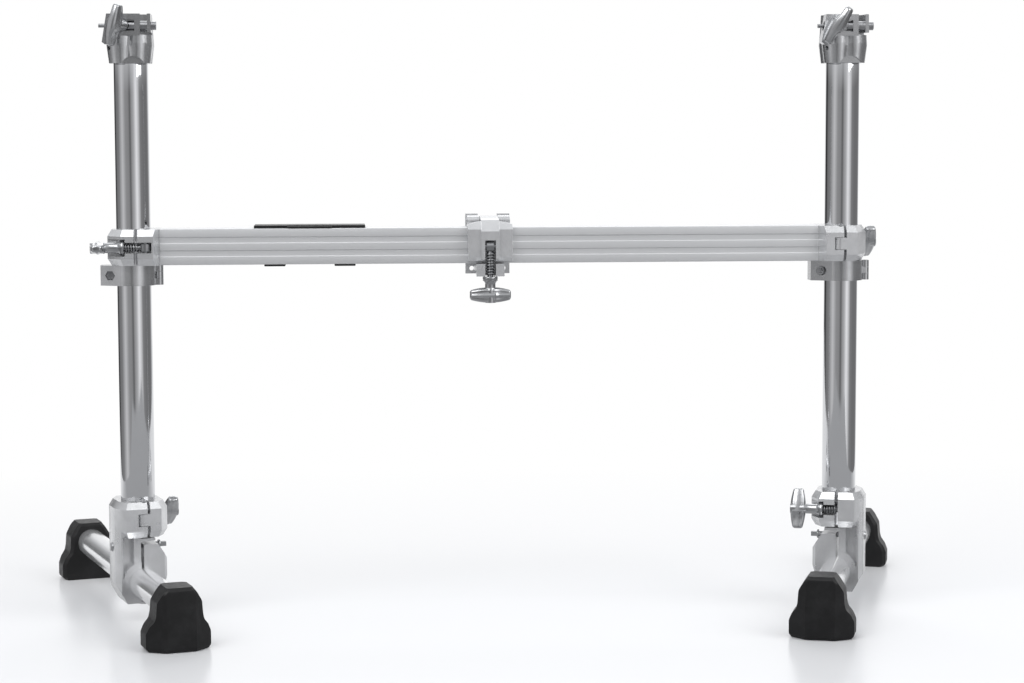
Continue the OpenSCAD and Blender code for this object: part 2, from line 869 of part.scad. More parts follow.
module leg_clamp_body() {
    bore_r = leg_r + leg_bore_wall;
    low = leg_z - bore_r + 1;
    jaw_low_x = post_r + 8;
    slit = 3;
    slit_x = 1.2;
    difference() {
        union() {
            // upper half, hinged to the jaw
            translate([0, 0, leg_clamp_z])
                bevelled_block(leg_body_plan(), [0:4]);
            // thick outer plate and the web behind the arches
            intersection() {
                rotate([90, 0, 0])
                    linear_extrude(2 * leg_half, center = true)
                        difference() {
                            leg_front_profile(low);
                            polygon([
                                [-FAR, low + 6], [leg_body_x - 14.5, low + 6],
                                [leg_body_x - 6.5, low + 21], [leg_body_x - 6.5, leg_clamp_z + 1],
                                [-FAR, leg_clamp_z + 1]
                            ]);
                        }
                translate([0, 0, -1])
                    linear_extrude(FAR)
                        polygon(leg_body_plan());
            }
            rotate([90, 0, 0])
                linear_extrude(leg_half, center = true)
                    leg_front_profile(low);
            // barrel round the leg tube
            translate([0, 0, leg_z])
                rotate([90, 0, 0])
                    cylinder(r = bore_r, h = leg_grip, center = true);
            // post rising from the barrel to the upper half, and the shelf under the jaw
            translate([2.8, -leg_half + 2, leg_z])
                cube([8, leg_grip - 4, leg_clamp_z - leg_z + 1]);
            translate([-13.5, -leg_half + 1, leg_clamp_z - 5])
                cube([20, leg_grip - 2, 3]);
            // split lower jaw with its front corners taken off
            intersection() {
                rotate([90, 0, 0])
                    linear_extrude(leg_grip, center = true)
                        polygon([
                            [slit_x, leg_shelf_z], [-jaw_low_x + 10.5, leg_shelf_z],
                            [-jaw_low_x, leg_shelf_z - 16.5], [-jaw_low_x, leg_z + 6],
                            [-bore_r + 1.5, leg_z - 6], [slit_x, leg_z - 6]
                        ]);
                linear_extrude(FAR)
                    polygon([
                        [FAR, -leg_half], [FAR, leg_half], [-jaw_low_x + 3.5, leg_half],
                        [-jaw_low_x, leg_half - 4], [-jaw_low_x, -leg_half + 4],
                        [-jaw_low_x + 3.5, -leg_half]
                    ]);
            }
        }
        translate([0, 0, leg_clamp_z])
            fixed_half_cuts(leg_shift);
        // bore for the stud
        translate([0, -pin_y, leg_clamp_z + clamp_h / 2])
            rotate([0, 90, 0])
                cylinder(r = bolt_r, h = leg_stud_x);
        translate([0, 0, leg_z])
            rotate([90, 0, 0])
                cylinder(r = leg_r + run_fit, h = FAR, center = true);
        translate([slit_x - slit / 2, -FAR / 2, leg_z])
            cube([slit, FAR, leg_shelf_z - leg_z + EPS]);
        // key bolt, clear in the lower jaw and tight in the body
        translate([0, 0, key_z])
            rotate([0, 90, 0]) {
                translate([0, 0, -FAR])
                    cylinder(d = key_d + 0.6, h = FAR);
                translate([0, 0, -FAR])
                    cylinder(d = 11, h = FAR - jaw_low_x + 5);
                cylinder(d = key_d, h = FAR);
            }
        // drilled hole in each end of the barrel's foot
        for (face = [-1, 1])
            translate([2, face * leg_half, leg_z - leg_r - leg_bore_wall / 2])
                rotate([90, 0, 0])
                    cylinder(d = 3.5, h = 12, center = true);
    }
}

module leg_clamp(side) {
    color(cast)
        at_leg_clamp(side)
            leg_clamp_body();
}

module on_leg_clamp(side) {
    at_leg_clamp(side)
        translate([0, 0, leg_clamp_z])
            children();
}

module leg_jaw(side) {
    color(cast)
        on_leg_clamp(side)
            clamp_jaw(leg_shift, leg_split_x, post_r + 10, front_y / 2);
}

module leg_hinge_pin(side) {
    color(steel)
        on_leg_clamp(side)
            hinge_pin(leg_shift);
}

// a plain stud, tight in the clamp's fixed half
module leg_stud(side) {
    inside = leg_stud_x - pivot_x + leg_shift;
    color(steel)
        on_leg_clamp(side)
            along_swing_bolt(leg_shift)
                translate([0, 0, -inside])
                    cylinder(r = bolt_r, h = inside + bolt_end(seat_reach, neck_len));
}

module leg_spring(side) {
    color(steel)
        on_leg_clamp(side)
            along_swing_bolt(leg_shift)
                bolt_spring(seat_reach);
}

module leg_washer(side) {
    color(chrome)
        on_leg_clamp(side)
            along_swing_bolt(leg_shift)
                seat_washer(seat_reach);
}

module leg_wing_nut(side) {
    color(chrome)
        on_leg_clamp(side)
            along_swing_bolt(leg_shift)
                wing_nut(seat_reach, neck_len, side == LEFT ? 45 : 15);
}

module key_bolt(side) {
    seat = -post_r - 3;
    color(steel)
        at_leg_clamp(side)
            translate([0, 0, key_z])
                rotate([0, 90, 0]) {
                    // square head and flange on the jaw's side, round nut outside
                    translate([0, 0, seat])
                        cylinder(d = key_d, h = leg_body_x - seat);
                    translate([0, 0, seat - 2])
                        cylinder(d = 10, h = 2);
                    translate([-2.6, -2.6, seat - 9])
                        cube([5.2, 5.2, 7.5]);
                    translate([0, 0, leg_body_x])
                        cylinder(d1 = 11, d2 = 7, h = 2.5);
                }
}

// legs and feet, the front foot at -Y

module leg_tube(side) {
    length = leg_front + leg_rear - 2 * foot_end;
    color(chrome)
        along_leg(side)
            translate([0, leg_rear - foot_end, leg_z])
                rotate([90, 0, 0])
                    difference() {
                        cylinder(r = leg_r, h = length);
                        translate([0, 0, -1])
                            cylinder(r = leg_r - leg_wall, h = length + 2);
                    }
}

// a foot with its outer face at Y = 0, reaching back to foot_len
module foot_shape() {
    half = foot_w / 2;
    top = leg_z + leg_r + foot_over;
    difference() {
        intersection() {
            rotate([90, 0, 0])
                linear_extrude(FAR, center = true)
                    polygon([
                        [-half + 3, 0], [half - 3, 0], [half, 4], [half, 19], [half - 3.5, top - 42],
                        [half - 8.5, top - 36], [half - 10, top - 30], [half - 11, top - 16],
                        [half - 17, top - 6], [half - 21.5, top], [-half + 21.5, top],
                        [-half + 17, top - 6], [-half + 11, top - 16], [-half + 10, top - 30],
                        [-half + 8.5, top - 36], [-half + 3.5, top - 42], [-half, 19], [-half, 4]
                    ]);
            rotate([90, 0, 90])
                linear_extrude(FAR, center = true)
                    polygon([
                        [0, 0], [foot_len, 0], [foot_len, top - 30], [foot_len - 3, top - 3],
                        [foot_len - 5, top], [6, top], [3, top - 3], [1, top - 30]
                    ]);
            // the front corners are taken off
            linear_extrude(FAR)
                polygon([
                    [-16, 0], [16, 0], [half, 15], [half, foot_len], [-half, foot_len], [-half, 15]
                ]);
        }
        translate([0, foot_end, leg_z])
            rotate([-90, 0, 0])
                cylinder(r = leg_r, h = FAR);
    }
}

module foot_front(side) {
    color(black)
        along_leg(side)
            translate([0, -leg_front, 0])
                foot_shape();
}

module foot_rear(side) {
    color(black)
        along_leg(side)
            translate([0, leg_rear, 0])
                rotate(180)
                    foot_shape();
}

// centre clamp, in the crossbar's own frame

centre_hinge_y = 4.2;
centre_hinge_z = bar_size / 2 + 6.6;
centre_hinge_r = 5.8;
centre_front = bar_size / 2 + 10.5;
lug_x = 15.5;
lug_half_slot = slot_w / 2;
lug_back = centre_pivot_y - seat_r;
centre_rear = bar_size / 2 + centre_plate;
centre_gap = 0.2;

module on_centre() {
    on_bar()
        translate([centre_x, 0, 0])
            children();
}

module centre_body() {
    half = bar_size / 2 + centre_gap;
    ear_z = pad_dz / 2 + 6;
    color(cast)
        on_centre()
            difference() {
                union() {
                    // rear plate
                    translate([-centre_w / 2, half, -half - 8])
                        cube([centre_w, centre_plate, 2 * half + 13]);
                    // four ears for the accessory bolts
                    for (sx = [-1, 1], sz = [-1, 1])
                        translate([sx * pad_dx / 2 - 7, half, sz * ear_z - (sz > 0 ? 14 : 0)])
                            cube([14, centre_plate, 14]);
                    // arms under the bar, ending in the two lugs
                    intersection() {
                        translate([-lug_x, -front_reach(), -half - 16])
                            cube([2 * lug_x, front_reach() - lug_back, 16]);
                        translate([0, -centre_pivot_y, centre_pivot_z])
                            rotate([0, 90, 0])
                                cylinder(r = centre_reach - face_gap, h = FAR, center = true);
                    }
                    translate([-lug_x, -lug_back - EPS, -half - 11])
                        cube([2 * lug_x, lug_back + half + centre_plate, 11]);
                    // top arm with the hinge knuckles
                    for (sx = [-1, 1])
                        translate([sx * 17.2 - 6.8, 0, 0]) {
                            translate([0, centre_hinge_y, half])
                                cube([13.6, half - centre_hinge_y + centre_plate, 5]);
                            translate([0, centre_hinge_y, centre_hinge_z])
                                rotate([0, 90, 0])
                                    cylinder(r = centre_hinge_r, h = 13.6);
                        }
                }
                // slot for the swing bolt
                translate([-lug_half_slot, -FAR, -FAR])
                    cube([2 * lug_half_slot, FAR - centre_pivot_y + slot_w / 2 + 0.5, FAR]);
                translate([0, centre_hinge_y, centre_hinge_z])
                    rotate([0, 90, 0])
                        cylinder(d = pin_d, h = FAR, center = true);
                for (sx = [-1, 1], sz = [-1, 1])
                    translate([sx * pad_dx / 2, 0, sz * pad_dz / 2])
                        rotate([-90, 0, 0])
                            cylinder(d = pad_hole_d, h = FAR);
            }
}

function front_reach() = centre_pivot_y + 7;

module centre_jaw() {
    half = bar_size / 2 + centre_gap;
    front = centre_front;
    color(cast)
        on_centre()
            difference() {
                union() {
                    // front plate, hooked over the bar's top edge
                    intersection() {
                        rotate([90, 0, 90])
                            linear_extrude(centre_w, center = true)
                                polygon([
                                    [-half, -half + 3], [-front + 3, -half + 3], [-front, -half + 8],
                                    [-front, half - 2], [-front + 6, half + 8], [-half + 4, half + 8],
                                    [-half + 4, half], [-half, half]
                                ]);
                        // the top edge falls away to both sides
                        translate([0, 0, half + 7.5 - 80])
                            rotate([90, 0, 0])
                                cylinder(r = 80, h = FAR, center = true, $fn = 128);
                    }
                    // centre rib that carries the hinge tongue and the bolt's eye
                    rotate([90, 0, 90])
                        linear_extrude(20, center = true)
                            polygon([
                                [-half, -half + 5], [-front - 3, -half + 5], [-front - 3, half - 4],
                                [-front + 5, half + 8.5], [-half + 5, half + 10.5],
                                [centre_hinge_y, centre_hinge_z + centre_hinge_r],
                                [centre_hinge_y, half], [-half, half]
                            ]);
                    translate([0, centre_hinge_y, centre_hinge_z])
                        rotate([0, 90, 0])
                            cylinder(r = centre_hinge_r, h = 20, center = true);
                }
                // slot for the eye and the spring
                translate([-slot_w / 2, -FAR, -FAR])
                    cube([slot_w, FAR - centre_pivot_y + eye_d / 2 + 0.4, FAR + centre_pivot_z + eye_d / 2 + 1]);
                translate([0, -centre_pivot_y, centre_pivot_z])
                    rotate([0, 90, 0])
                        cylinder(d = pin_d, h = 24, center = true);
                translate([0, centre_hinge_y, centre_hinge_z])
                    rotate([0, 90, 0])
                        cylinder(r = pin_d / 2 + run_fit, h = 24, center = true);
                // room for the body's knuckles
                for (sx = [-1, 1])
                    translate([sx * 17.2, centre_hinge_y, centre_hinge_z])
                        rotate([0, 90, 0])
                            cylinder(r = centre_hinge_r + 0.5, h = 14, center = true);
            }
}

module centre_hinge_pin() {
    color(steel)
        on_centre()
            translate([0, centre_hinge_y, centre_hinge_z])
                rotate([0, 90, 0])
                    cylinder(d = pin_d, h = centre_w - 1, center = true);
}

module centre_pivot_pin() {
    color(steel)
        along_centre_bolt()
            rotate([0, 90, 0])
                cylinder(d = pin_d, h = 20, center = true);
}

module centre_bolt() {
    color(steel)
        along_centre_bolt()
            swing_bolt(centre_reach, centre_neck_len);
}

module centre_spring() {
    color(steel)
        along_centre_bolt()
            bolt_spring(centre_reach);
}

module centre_washer() {
    color(chrome)
        along_centre_bolt()
            seat_washer(centre_reach);
}

module centre_wing_nut() {
    color(chrome)
        along_centre_bolt()
            wing_nut(centre_reach, centre_neck_len, 0);
}

crossbar();
cover_plate();
bar_clamp(LEFT);  // bar_clamp_left
bar_clamp(RIGHT);  // bar_clamp_right
bar_clamp_pins();
bar_end_screws();
bar_jaw(LEFT);  // bar_jaw_left
bar_jaw(RIGHT);  // bar_jaw_right
bar_bolt(LEFT);  // bar_bolt_left
bar_bolt(RIGHT);  // bar_bolt_right
bar_spring(LEFT);  // bar_spring_left
bar_spring(RIGHT);  // bar_spring_right
bar_washer(LEFT);  // bar_washer_left
bar_washer(RIGHT);  // bar_washer_right
bar_wing_nut(LEFT);  // bar_wing_nut_left
bar_wing_nut(RIGHT);  // bar_wing_nut_right
collar_front(LEFT);  // collar_front_left
collar_front(RIGHT);  // collar_front_right
collar_rear(LEFT);  // collar_rear_left
collar_rear(RIGHT);  // collar_rear_right
collar_hardware(LEFT);  // collar_hardware_left
collar_hardware(RIGHT);  // collar_hardware_right
post(LEFT);  // post_left
post(RIGHT);  // post_right
cap(LEFT);  // cap_left
cap(RIGHT);  // cap_right
cap_barrel(LEFT);  // cap_barrel_left
cap_barrel(RIGHT);  // cap_barrel_right
cap_wing_bolt(LEFT);  // cap_wing_bolt_left
cap_wing_bolt(RIGHT);  // cap_wing_bolt_right
leg_clamp(LEFT);  // leg_clamp_left
leg_clamp(RIGHT);  // leg_clamp_right
leg_jaw(LEFT);  // leg_jaw_left
leg_jaw(RIGHT);  // leg_jaw_right
leg_hinge_pin(LEFT);  // leg_hinge_pin_left
leg_hinge_pin(RIGHT);  // leg_hinge_pin_right
leg_stud(LEFT);  // leg_stud_left
leg_stud(RIGHT);  // leg_stud_right
leg_spring(LEFT);  // leg_spring_left
leg_spring(RIGHT);  // leg_spring_right
leg_washer(LEFT);  // leg_washer_left
leg_washer(RIGHT);  // leg_washer_right
leg_wing_nut(LEFT);  // leg_wing_nut_left
leg_wing_nut(RIGHT);  // leg_wing_nut_right
key_bolt(LEFT);  // key_bolt_left
key_bolt(RIGHT);  // key_bolt_right
leg_tube(LEFT);  // leg_tube_left
leg_tube(RIGHT);  // leg_tube_right
foot_front(LEFT);  // foot_front_left
foot_front(RIGHT);  // foot_front_right
foot_rear(LEFT);  // foot_rear_left
foot_rear(RIGHT);  // foot_rear_right
centre_body();
centre_jaw();
centre_hinge_pin();
centre_pivot_pin();
centre_bolt();
centre_spring();
centre_washer();
centre_wing_nut();
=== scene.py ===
"""Looks of a drum rack's front frame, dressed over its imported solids.

Each sub-assembly is a class that makes or softens its own meshes, each finish is a small class, and
main() builds them in order. Meshes are worked out in millimetres and stored in metres, in the row
frame, with every object at the origin.
"""

import logging
import math
from dataclasses import dataclass, field
from enum import Enum
from typing import Sequence

import bmesh
import bpy
import numpy as np
from mathutils import Matrix, Vector


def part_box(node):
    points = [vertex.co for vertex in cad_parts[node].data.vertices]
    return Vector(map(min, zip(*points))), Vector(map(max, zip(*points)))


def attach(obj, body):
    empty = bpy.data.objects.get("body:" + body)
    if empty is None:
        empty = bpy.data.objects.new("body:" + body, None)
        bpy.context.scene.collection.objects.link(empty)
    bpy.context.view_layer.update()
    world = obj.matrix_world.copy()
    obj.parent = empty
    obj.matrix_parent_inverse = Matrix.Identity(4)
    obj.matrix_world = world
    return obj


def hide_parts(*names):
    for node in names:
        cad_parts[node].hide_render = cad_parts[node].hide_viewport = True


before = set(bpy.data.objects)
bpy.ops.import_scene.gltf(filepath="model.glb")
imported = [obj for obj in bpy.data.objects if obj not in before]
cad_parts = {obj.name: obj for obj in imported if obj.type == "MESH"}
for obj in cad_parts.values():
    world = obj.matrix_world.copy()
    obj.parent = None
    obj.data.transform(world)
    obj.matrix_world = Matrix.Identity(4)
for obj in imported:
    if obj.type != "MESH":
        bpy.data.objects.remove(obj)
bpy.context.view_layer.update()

LOG = logging.getLogger("drum_rack")
MM = 0.001


class Side(Enum):
    """The two sides of the frame, as seen from the front."""

    LEFT = -1
    RIGHT = 1

    @property
    def word(self) -> str:
        """The side's name as the solids use it."""
        return self.name.lower()


class Finish(Enum):
    """The finishes that a piece can take, each with its material's name.

    That is its slot's name too, but LEG_CHROME and ROUND_CAST go in the slots of TUBE_CHROME
    and CAST.
    """

    TUBE_CHROME = "chrome_tube"
    # The leg tubes' chrome: paler and partly diffuse, a painted reflection of the white floor on real
    # chrome.
    LEG_CHROME = "satin_tube"
    ANODISED = "extruded_bar"
    CAST = "die_cast"
    ROUND_CAST = "polished_cast"
    WING = "chrome_cast"
    STEEL = "steel"
    RUBBER = "black_rubber"
    PLASTIC = "black_plastic"


# Numbers of the frame


@dataclass(frozen=True)
class RackSizes:
    """Sizes in millimetres and degrees that pieces share, the same as those of the solids."""

    post_x: float = 400.0
    post_y: float = -49.593
    post_d: float = 38.1
    post_wall: float = 2.0
    bar_z: float = 421.0
    bar_size: float = 40.0
    bar_end_gap: float = 30.2
    clamp_h: float = 40.0
    pin_y: float = 27.05
    pivot_x: float = 15.0
    leg_shift: float = 6.5
    leg_clamp_z: float = 97.0
    toe: float = 17.5
    seat_reach: float = 23.5
    centre_reach: float = 34.0
    washer_d: float = 17.0
    washer_t: float = 3.0
    bolt_d: float = 7.0
    eye_d: float = 12.0
    eye_h: float = 9.0
    pin_d: float = 5.0
    wire_d: float = 1.3
    spring_pitch: float = 2.8
    spring_gap: float = 0.45
    neck_d: float = 11.7
    neck_len: float = 17.5
    centre_neck_len: float = 9.5
    wing_mid_w: float = 17.5
    thread_pitch: float = 1.25
    leg_front: float = 196.0
    leg_rear: float = 300.0
    leg_d: float = 33.0
    leg_wall: float = 2.0
    leg_z: float = 45.0
    foot_over: float = 7.5
    foot_end: float = 8.0
    cap_barrel_z: float = 665.0
    barrel_y: float = 19.5
    barrel_d: float = 10.5
    cap_bolt_angle: float = 30.0
    cap_bolt_d: float = 6.0
    cap_wing_reach: float = 28.0
    centre_x: float = -3.0
    centre_pivot_y: float = 27.0
    centre_pivot_z: float = -1.0


SIZES = RackSizes()


# Frames of reference


@dataclass(frozen=True)
class Place:
    """A frame in millimetres: columns of turn are its axes, origin is where it stands."""

    turn: np.ndarray = field(default_factory=lambda: np.eye(3))
    origin: np.ndarray = field(default_factory=lambda: np.zeros(3))

    def moved(self, x: float, y: float, z: float) -> "Place":
        """The same frame, shifted along its own axes."""
        return Place(self.turn, self.origin + self.turn @ np.array([x, y, z], float))

    def turned(self, axis: str, degrees: float) -> "Place":
        """The frame turned about one of its own axes.

        Args:
            axis: "x", "y" or "z".
            degrees: the angle, by the right-hand rule.
        """
        c, s = math.cos(math.radians(degrees)), math.sin(math.radians(degrees))
        about_z = np.array([[c, -s, 0], [s, c, 0], [0, 0, 1]])
        return Place(self.turn @ np.roll(about_z, "zxy".index(axis), (0, 1)), self.origin)

    def points(self, local: np.ndarray) -> np.ndarray:
        """Points of this frame as points of the row, still in millimetres."""
        return local.reshape(-1, 3) @ self.turn.T + self.origin


def at_post(side: Side) -> Place:
    """The frame of a post's axis on the floor."""
    return Place().moved(side.value * SIZES.post_x, SIZES.post_y, 0.0)


def at_bar_clamp(side: Side) -> Place:
    """The frame of a crossbar clamp: jaw at -X, bolt at -Y."""
    base = at_post(side).moved(0, 0, SIZES.bar_z - SIZES.clamp_h / 2)
    return base if side is Side.LEFT else base.turned("z", 180)


def along_leg(side: Side) -> Place:
    """The frame of a leg on the floor, its front foot at -Y."""
    return at_post(side).turned("z", -side.value * SIZES.toe)


def at_leg_clamp(side: Side) -> Place:
    """The frame of a leg clamp: jaw at -X, stud at -Y."""
    base = along_leg(side).moved(0, 0, SIZES.leg_clamp_z)
    return base.turned("z", 180) if side is Side.LEFT else base


def along_bolt(clamp: Place, shift: float = 0.0) -> Place:
    """The frame whose Z runs out along a clamp's bolt, from its pivot."""
    return clamp.moved(SIZES.pivot_x - shift, -SIZES.pin_y, SIZES.clamp_h / 2).turned("y", -90)


def along_centre_bolt() -> Place:
    """The frame whose Z hangs down along the centre clamp's bolt."""
    pivot_y = SIZES.post_y - SIZES.centre_pivot_y
    return Place().moved(SIZES.centre_x, pivot_y, SIZES.bar_z + SIZES.centre_pivot_z).turned("x", 180)


def along_cap_bolt(side: Side) -> Place:
    """The frame whose Z runs out along a top clamp's wing bolt, from its barrel."""
    base = at_post(side).moved(0, -SIZES.barrel_y, SIZES.cap_barrel_z)
    return base.turned("z", -SIZES.cap_bolt_angle).turned("x", 90)


# Surfaces


@dataclass
class Shell:
    """Vertices in millimetres and the faces between them, before they become a mesh."""

    vertices: np.ndarray
    faces: list[tuple[int, ...]]

    def joined(self, other: "Shell") -> "Shell":
        """This shell and another as one."""
        step = len(self.vertices)
        moved = [tuple(i + step for i in f) for f in other.faces]
        return Shell(np.vstack([self.vertices, other.vertices]), self.faces + moved)

    def placed(self, place: Place) -> "Shell":
        """The shell carried into the row frame."""
        return Shell(place.points(self.vertices), self.faces)


def lattice(points: np.ndarray, ring: bool = False) -> Shell:
    """A surface over a grid of points, closed round each row.

    Row i, column j is points[i, j]. Neighbours make four-sided faces, and each end row becomes
    one face, unless the last row joins the first.

    Args:
        points: an array of rows x columns x 3.
        ring: the last row joins the first.

    Returns:
        The shell, facing away from the left of the rows' direction of travel.
    """
    rows, columns = points.shape[:2]
    index = np.arange(rows * columns).reshape(rows, columns)
    below = index if ring else index[:-1]
    above = np.roll(index, -1, axis=0) if ring else index[1:]
    quads = np.stack(
        [below, np.roll(below, -1, axis=1), np.roll(above, -1, axis=1), above], axis=-1
    ).reshape(-1, 4)
    faces = [tuple(q) for q in quads.tolist()]
    if not ring:
        faces.append(tuple(index[0][::-1].tolist()))
        faces.append(tuple(index[-1].tolist()))
    return Shell(points.reshape(-1, 3), faces)


def once_round(sides: int) -> np.ndarray:
    """Angles in radians that go once round in even steps."""
    return np.linspace(0, 2 * math.pi, sides, endpoint=False)


def circles(radii: np.ndarray, heights: np.ndarray, t: np.ndarray) -> np.ndarray:
    """Rows of points round Z: x = r cos t, y = r sin t, z = h, with a radius by row or by point."""
    z = np.repeat(heights[:, None], len(t), axis=1)
    return np.stack([radii * np.cos(t), radii * np.sin(t), z], axis=-1)


def revolved(profile: Sequence[tuple[float, float]], sides: int, ring: bool = False) -> Shell:
    """A profile of (radius, height) pairs turned about Z, each pair making a circle.

    Args:
        profile: the pairs, from low to high on the outside.
        sides: how many columns go round.
        ring: the profile is a closed loop, as for a tube's wall.
    """
    r, h = np.array(profile, float).T
    return lattice(circles(r[:, None], h, once_round(sides)), ring)


def rounded_corners(corners: Sequence[tuple[float, float, float]], steps: int = 5) -> np.ndarray:
    """An outline whose corners are rounded by arcs of the third number of each entry.

    Each arc is tangent to both sides: its centre lies on the corner's bisector at r / sin(half angle).

    Args:
        corners: (x, y, radius) triples, anticlockwise, each with a bend and a radius above zero.
        steps: points on each arc, less one.

    Returns:
        The outline's points, as an array of n x 2.
    """
    raw = np.array([c[:2] for c in corners], float)
    outline: list[np.ndarray] = []
    for i, (_, _, radius) in enumerate(corners):
        a, b, c = raw[i - 1], raw[i], raw[(i + 1) % len(raw)]
        u, v = (a - b) / np.linalg.norm(a - b), (c - b) / np.linalg.norm(c - b)
        half = 0.5 * math.acos(float(np.clip(u @ v, -1, 1)))
        run = radius / math.tan(half)
        centre = b + (u + v) / np.linalg.norm(u + v) * radius / math.sin(half)
        start, end = b + u * run - centre, b + v * run - centre
        share = np.linspace(0, 1, steps + 1)[:, None]
        arc = start * (1 - share) + end * share
        arc *= radius / np.linalg.norm(arc, axis=1, keepdims=True)
        outline.append(centre + arc)
    return np.vstack(outline)


def extruded(outline: np.ndarray, stations: Sequence[float]) -> Shell:
    """An outline in Y and Z carried along X through the stations."""
    rows = [np.column_stack([np.full(len(outline), x), outline]) for x in stations]
    return lattice(np.array(rows))


# Points on a spring's curl and round its wire, and columns and steps a pitch on a thread.
CURL_STEPS = 28
WIRE_SIDES = 12
THREAD_SIDES = 40
THREAD_STEPS = 6
TIP_LENGTH = 0.8

# Rings at a bolt's tip: share of the shank's radius, and distance from the end in millimetres.
THREAD_TIP = ((0.84, 0.5), (0.72, 0.1), (0.6, 0.0))


def coil(radius: float, wire: float, pitch: float, length: float) -> Shell:
    """A spring of round wire: p(t) = (R cos t, R sin t, climb(t)), with a ring of wire round each point.

    Both ends rise straight for one wire diameter, and the climb between them is even.

    Args:
        radius: of the helix.
        wire: the wire's diameter.
        pitch: about the rise of one curl.
        length: from end to end.
    """
    turns = math.floor((length - 2 * wire) / pitch)
    t = np.linspace(0, 2 * math.pi * turns, turns * CURL_STEPS + 1)
    climb = wire + (length - 2 * wire) * t / t[-1]
    path = np.column_stack([radius * np.cos(t), radius * np.sin(t), climb])
    path = np.vstack([[radius, 0, 0], path, [radius, 0, length]])
    along = np.gradient(path, axis=0)
    along /= np.linalg.norm(along, axis=1, keepdims=True)
    out = path * [1, 1, 0] / radius
    sideways = np.cross(along, out)
    sideways /= np.linalg.norm(sideways, axis=1, keepdims=True)
    upright = np.cross(sideways, along)
    a = once_round(WIRE_SIDES)
    rings = path[:, None] + wire / 2 * (
        np.cos(a)[None, :, None] * upright[:, None] + np.sin(a)[None, :, None] * sideways[:, None]
    )
    return lattice(rings)


def threaded_shank(radius: float, start: float, end: float, pitch: float, depth: float) -> Shell:
    """A bolt's shank whose radius follows a helical thread: r = R - depth * wave(z / pitch - t / turn).

    Args:
        radius: at the thread's crests.
        start: height at which the shank begins.
        end: height of its rounded tip.
        pitch: of the thread.
        depth: from crest to root.
    """
    z = np.arange(start, end - TIP_LENGTH, pitch / THREAD_STEPS)
    t = once_round(THREAD_SIDES)
    phase = z[:, None] / pitch - t[None] / (2 * math.pi)
    wave = np.abs(2 * (phase - np.floor(phase + 0.5)))
    share, back = np.array(THREAD_TIP).T
    tip = np.repeat(share[:, None] * radius, THREAD_SIDES, axis=1)
    radii = np.vstack([radius - depth * wave, tip])
    return lattice(circles(radii, np.concatenate([z, end - back]), t))


# Meshes and objects


# Distance in metres within which a solid's corners are one.
MERGE = 2e-6

# Angles in degrees: faces that meet at less are one, and edges above the second are rounded.
FLAT = 0.6
SHARP = 26.0

# Edges of a made and of a softened piece that stay sharp, in degrees and more.
CREASE = 38.0
CAST_CREASE = 34.0

NORMAL_WEIGHT = 80


def add_object(name: str, data: bpy.types.ID) -> bpy.types.Object:
    """A new object of some data, linked to the scene."""
    made = bpy.data.objects.new(name, data)
    bpy.context.scene.collection.objects.link(made)
    return made


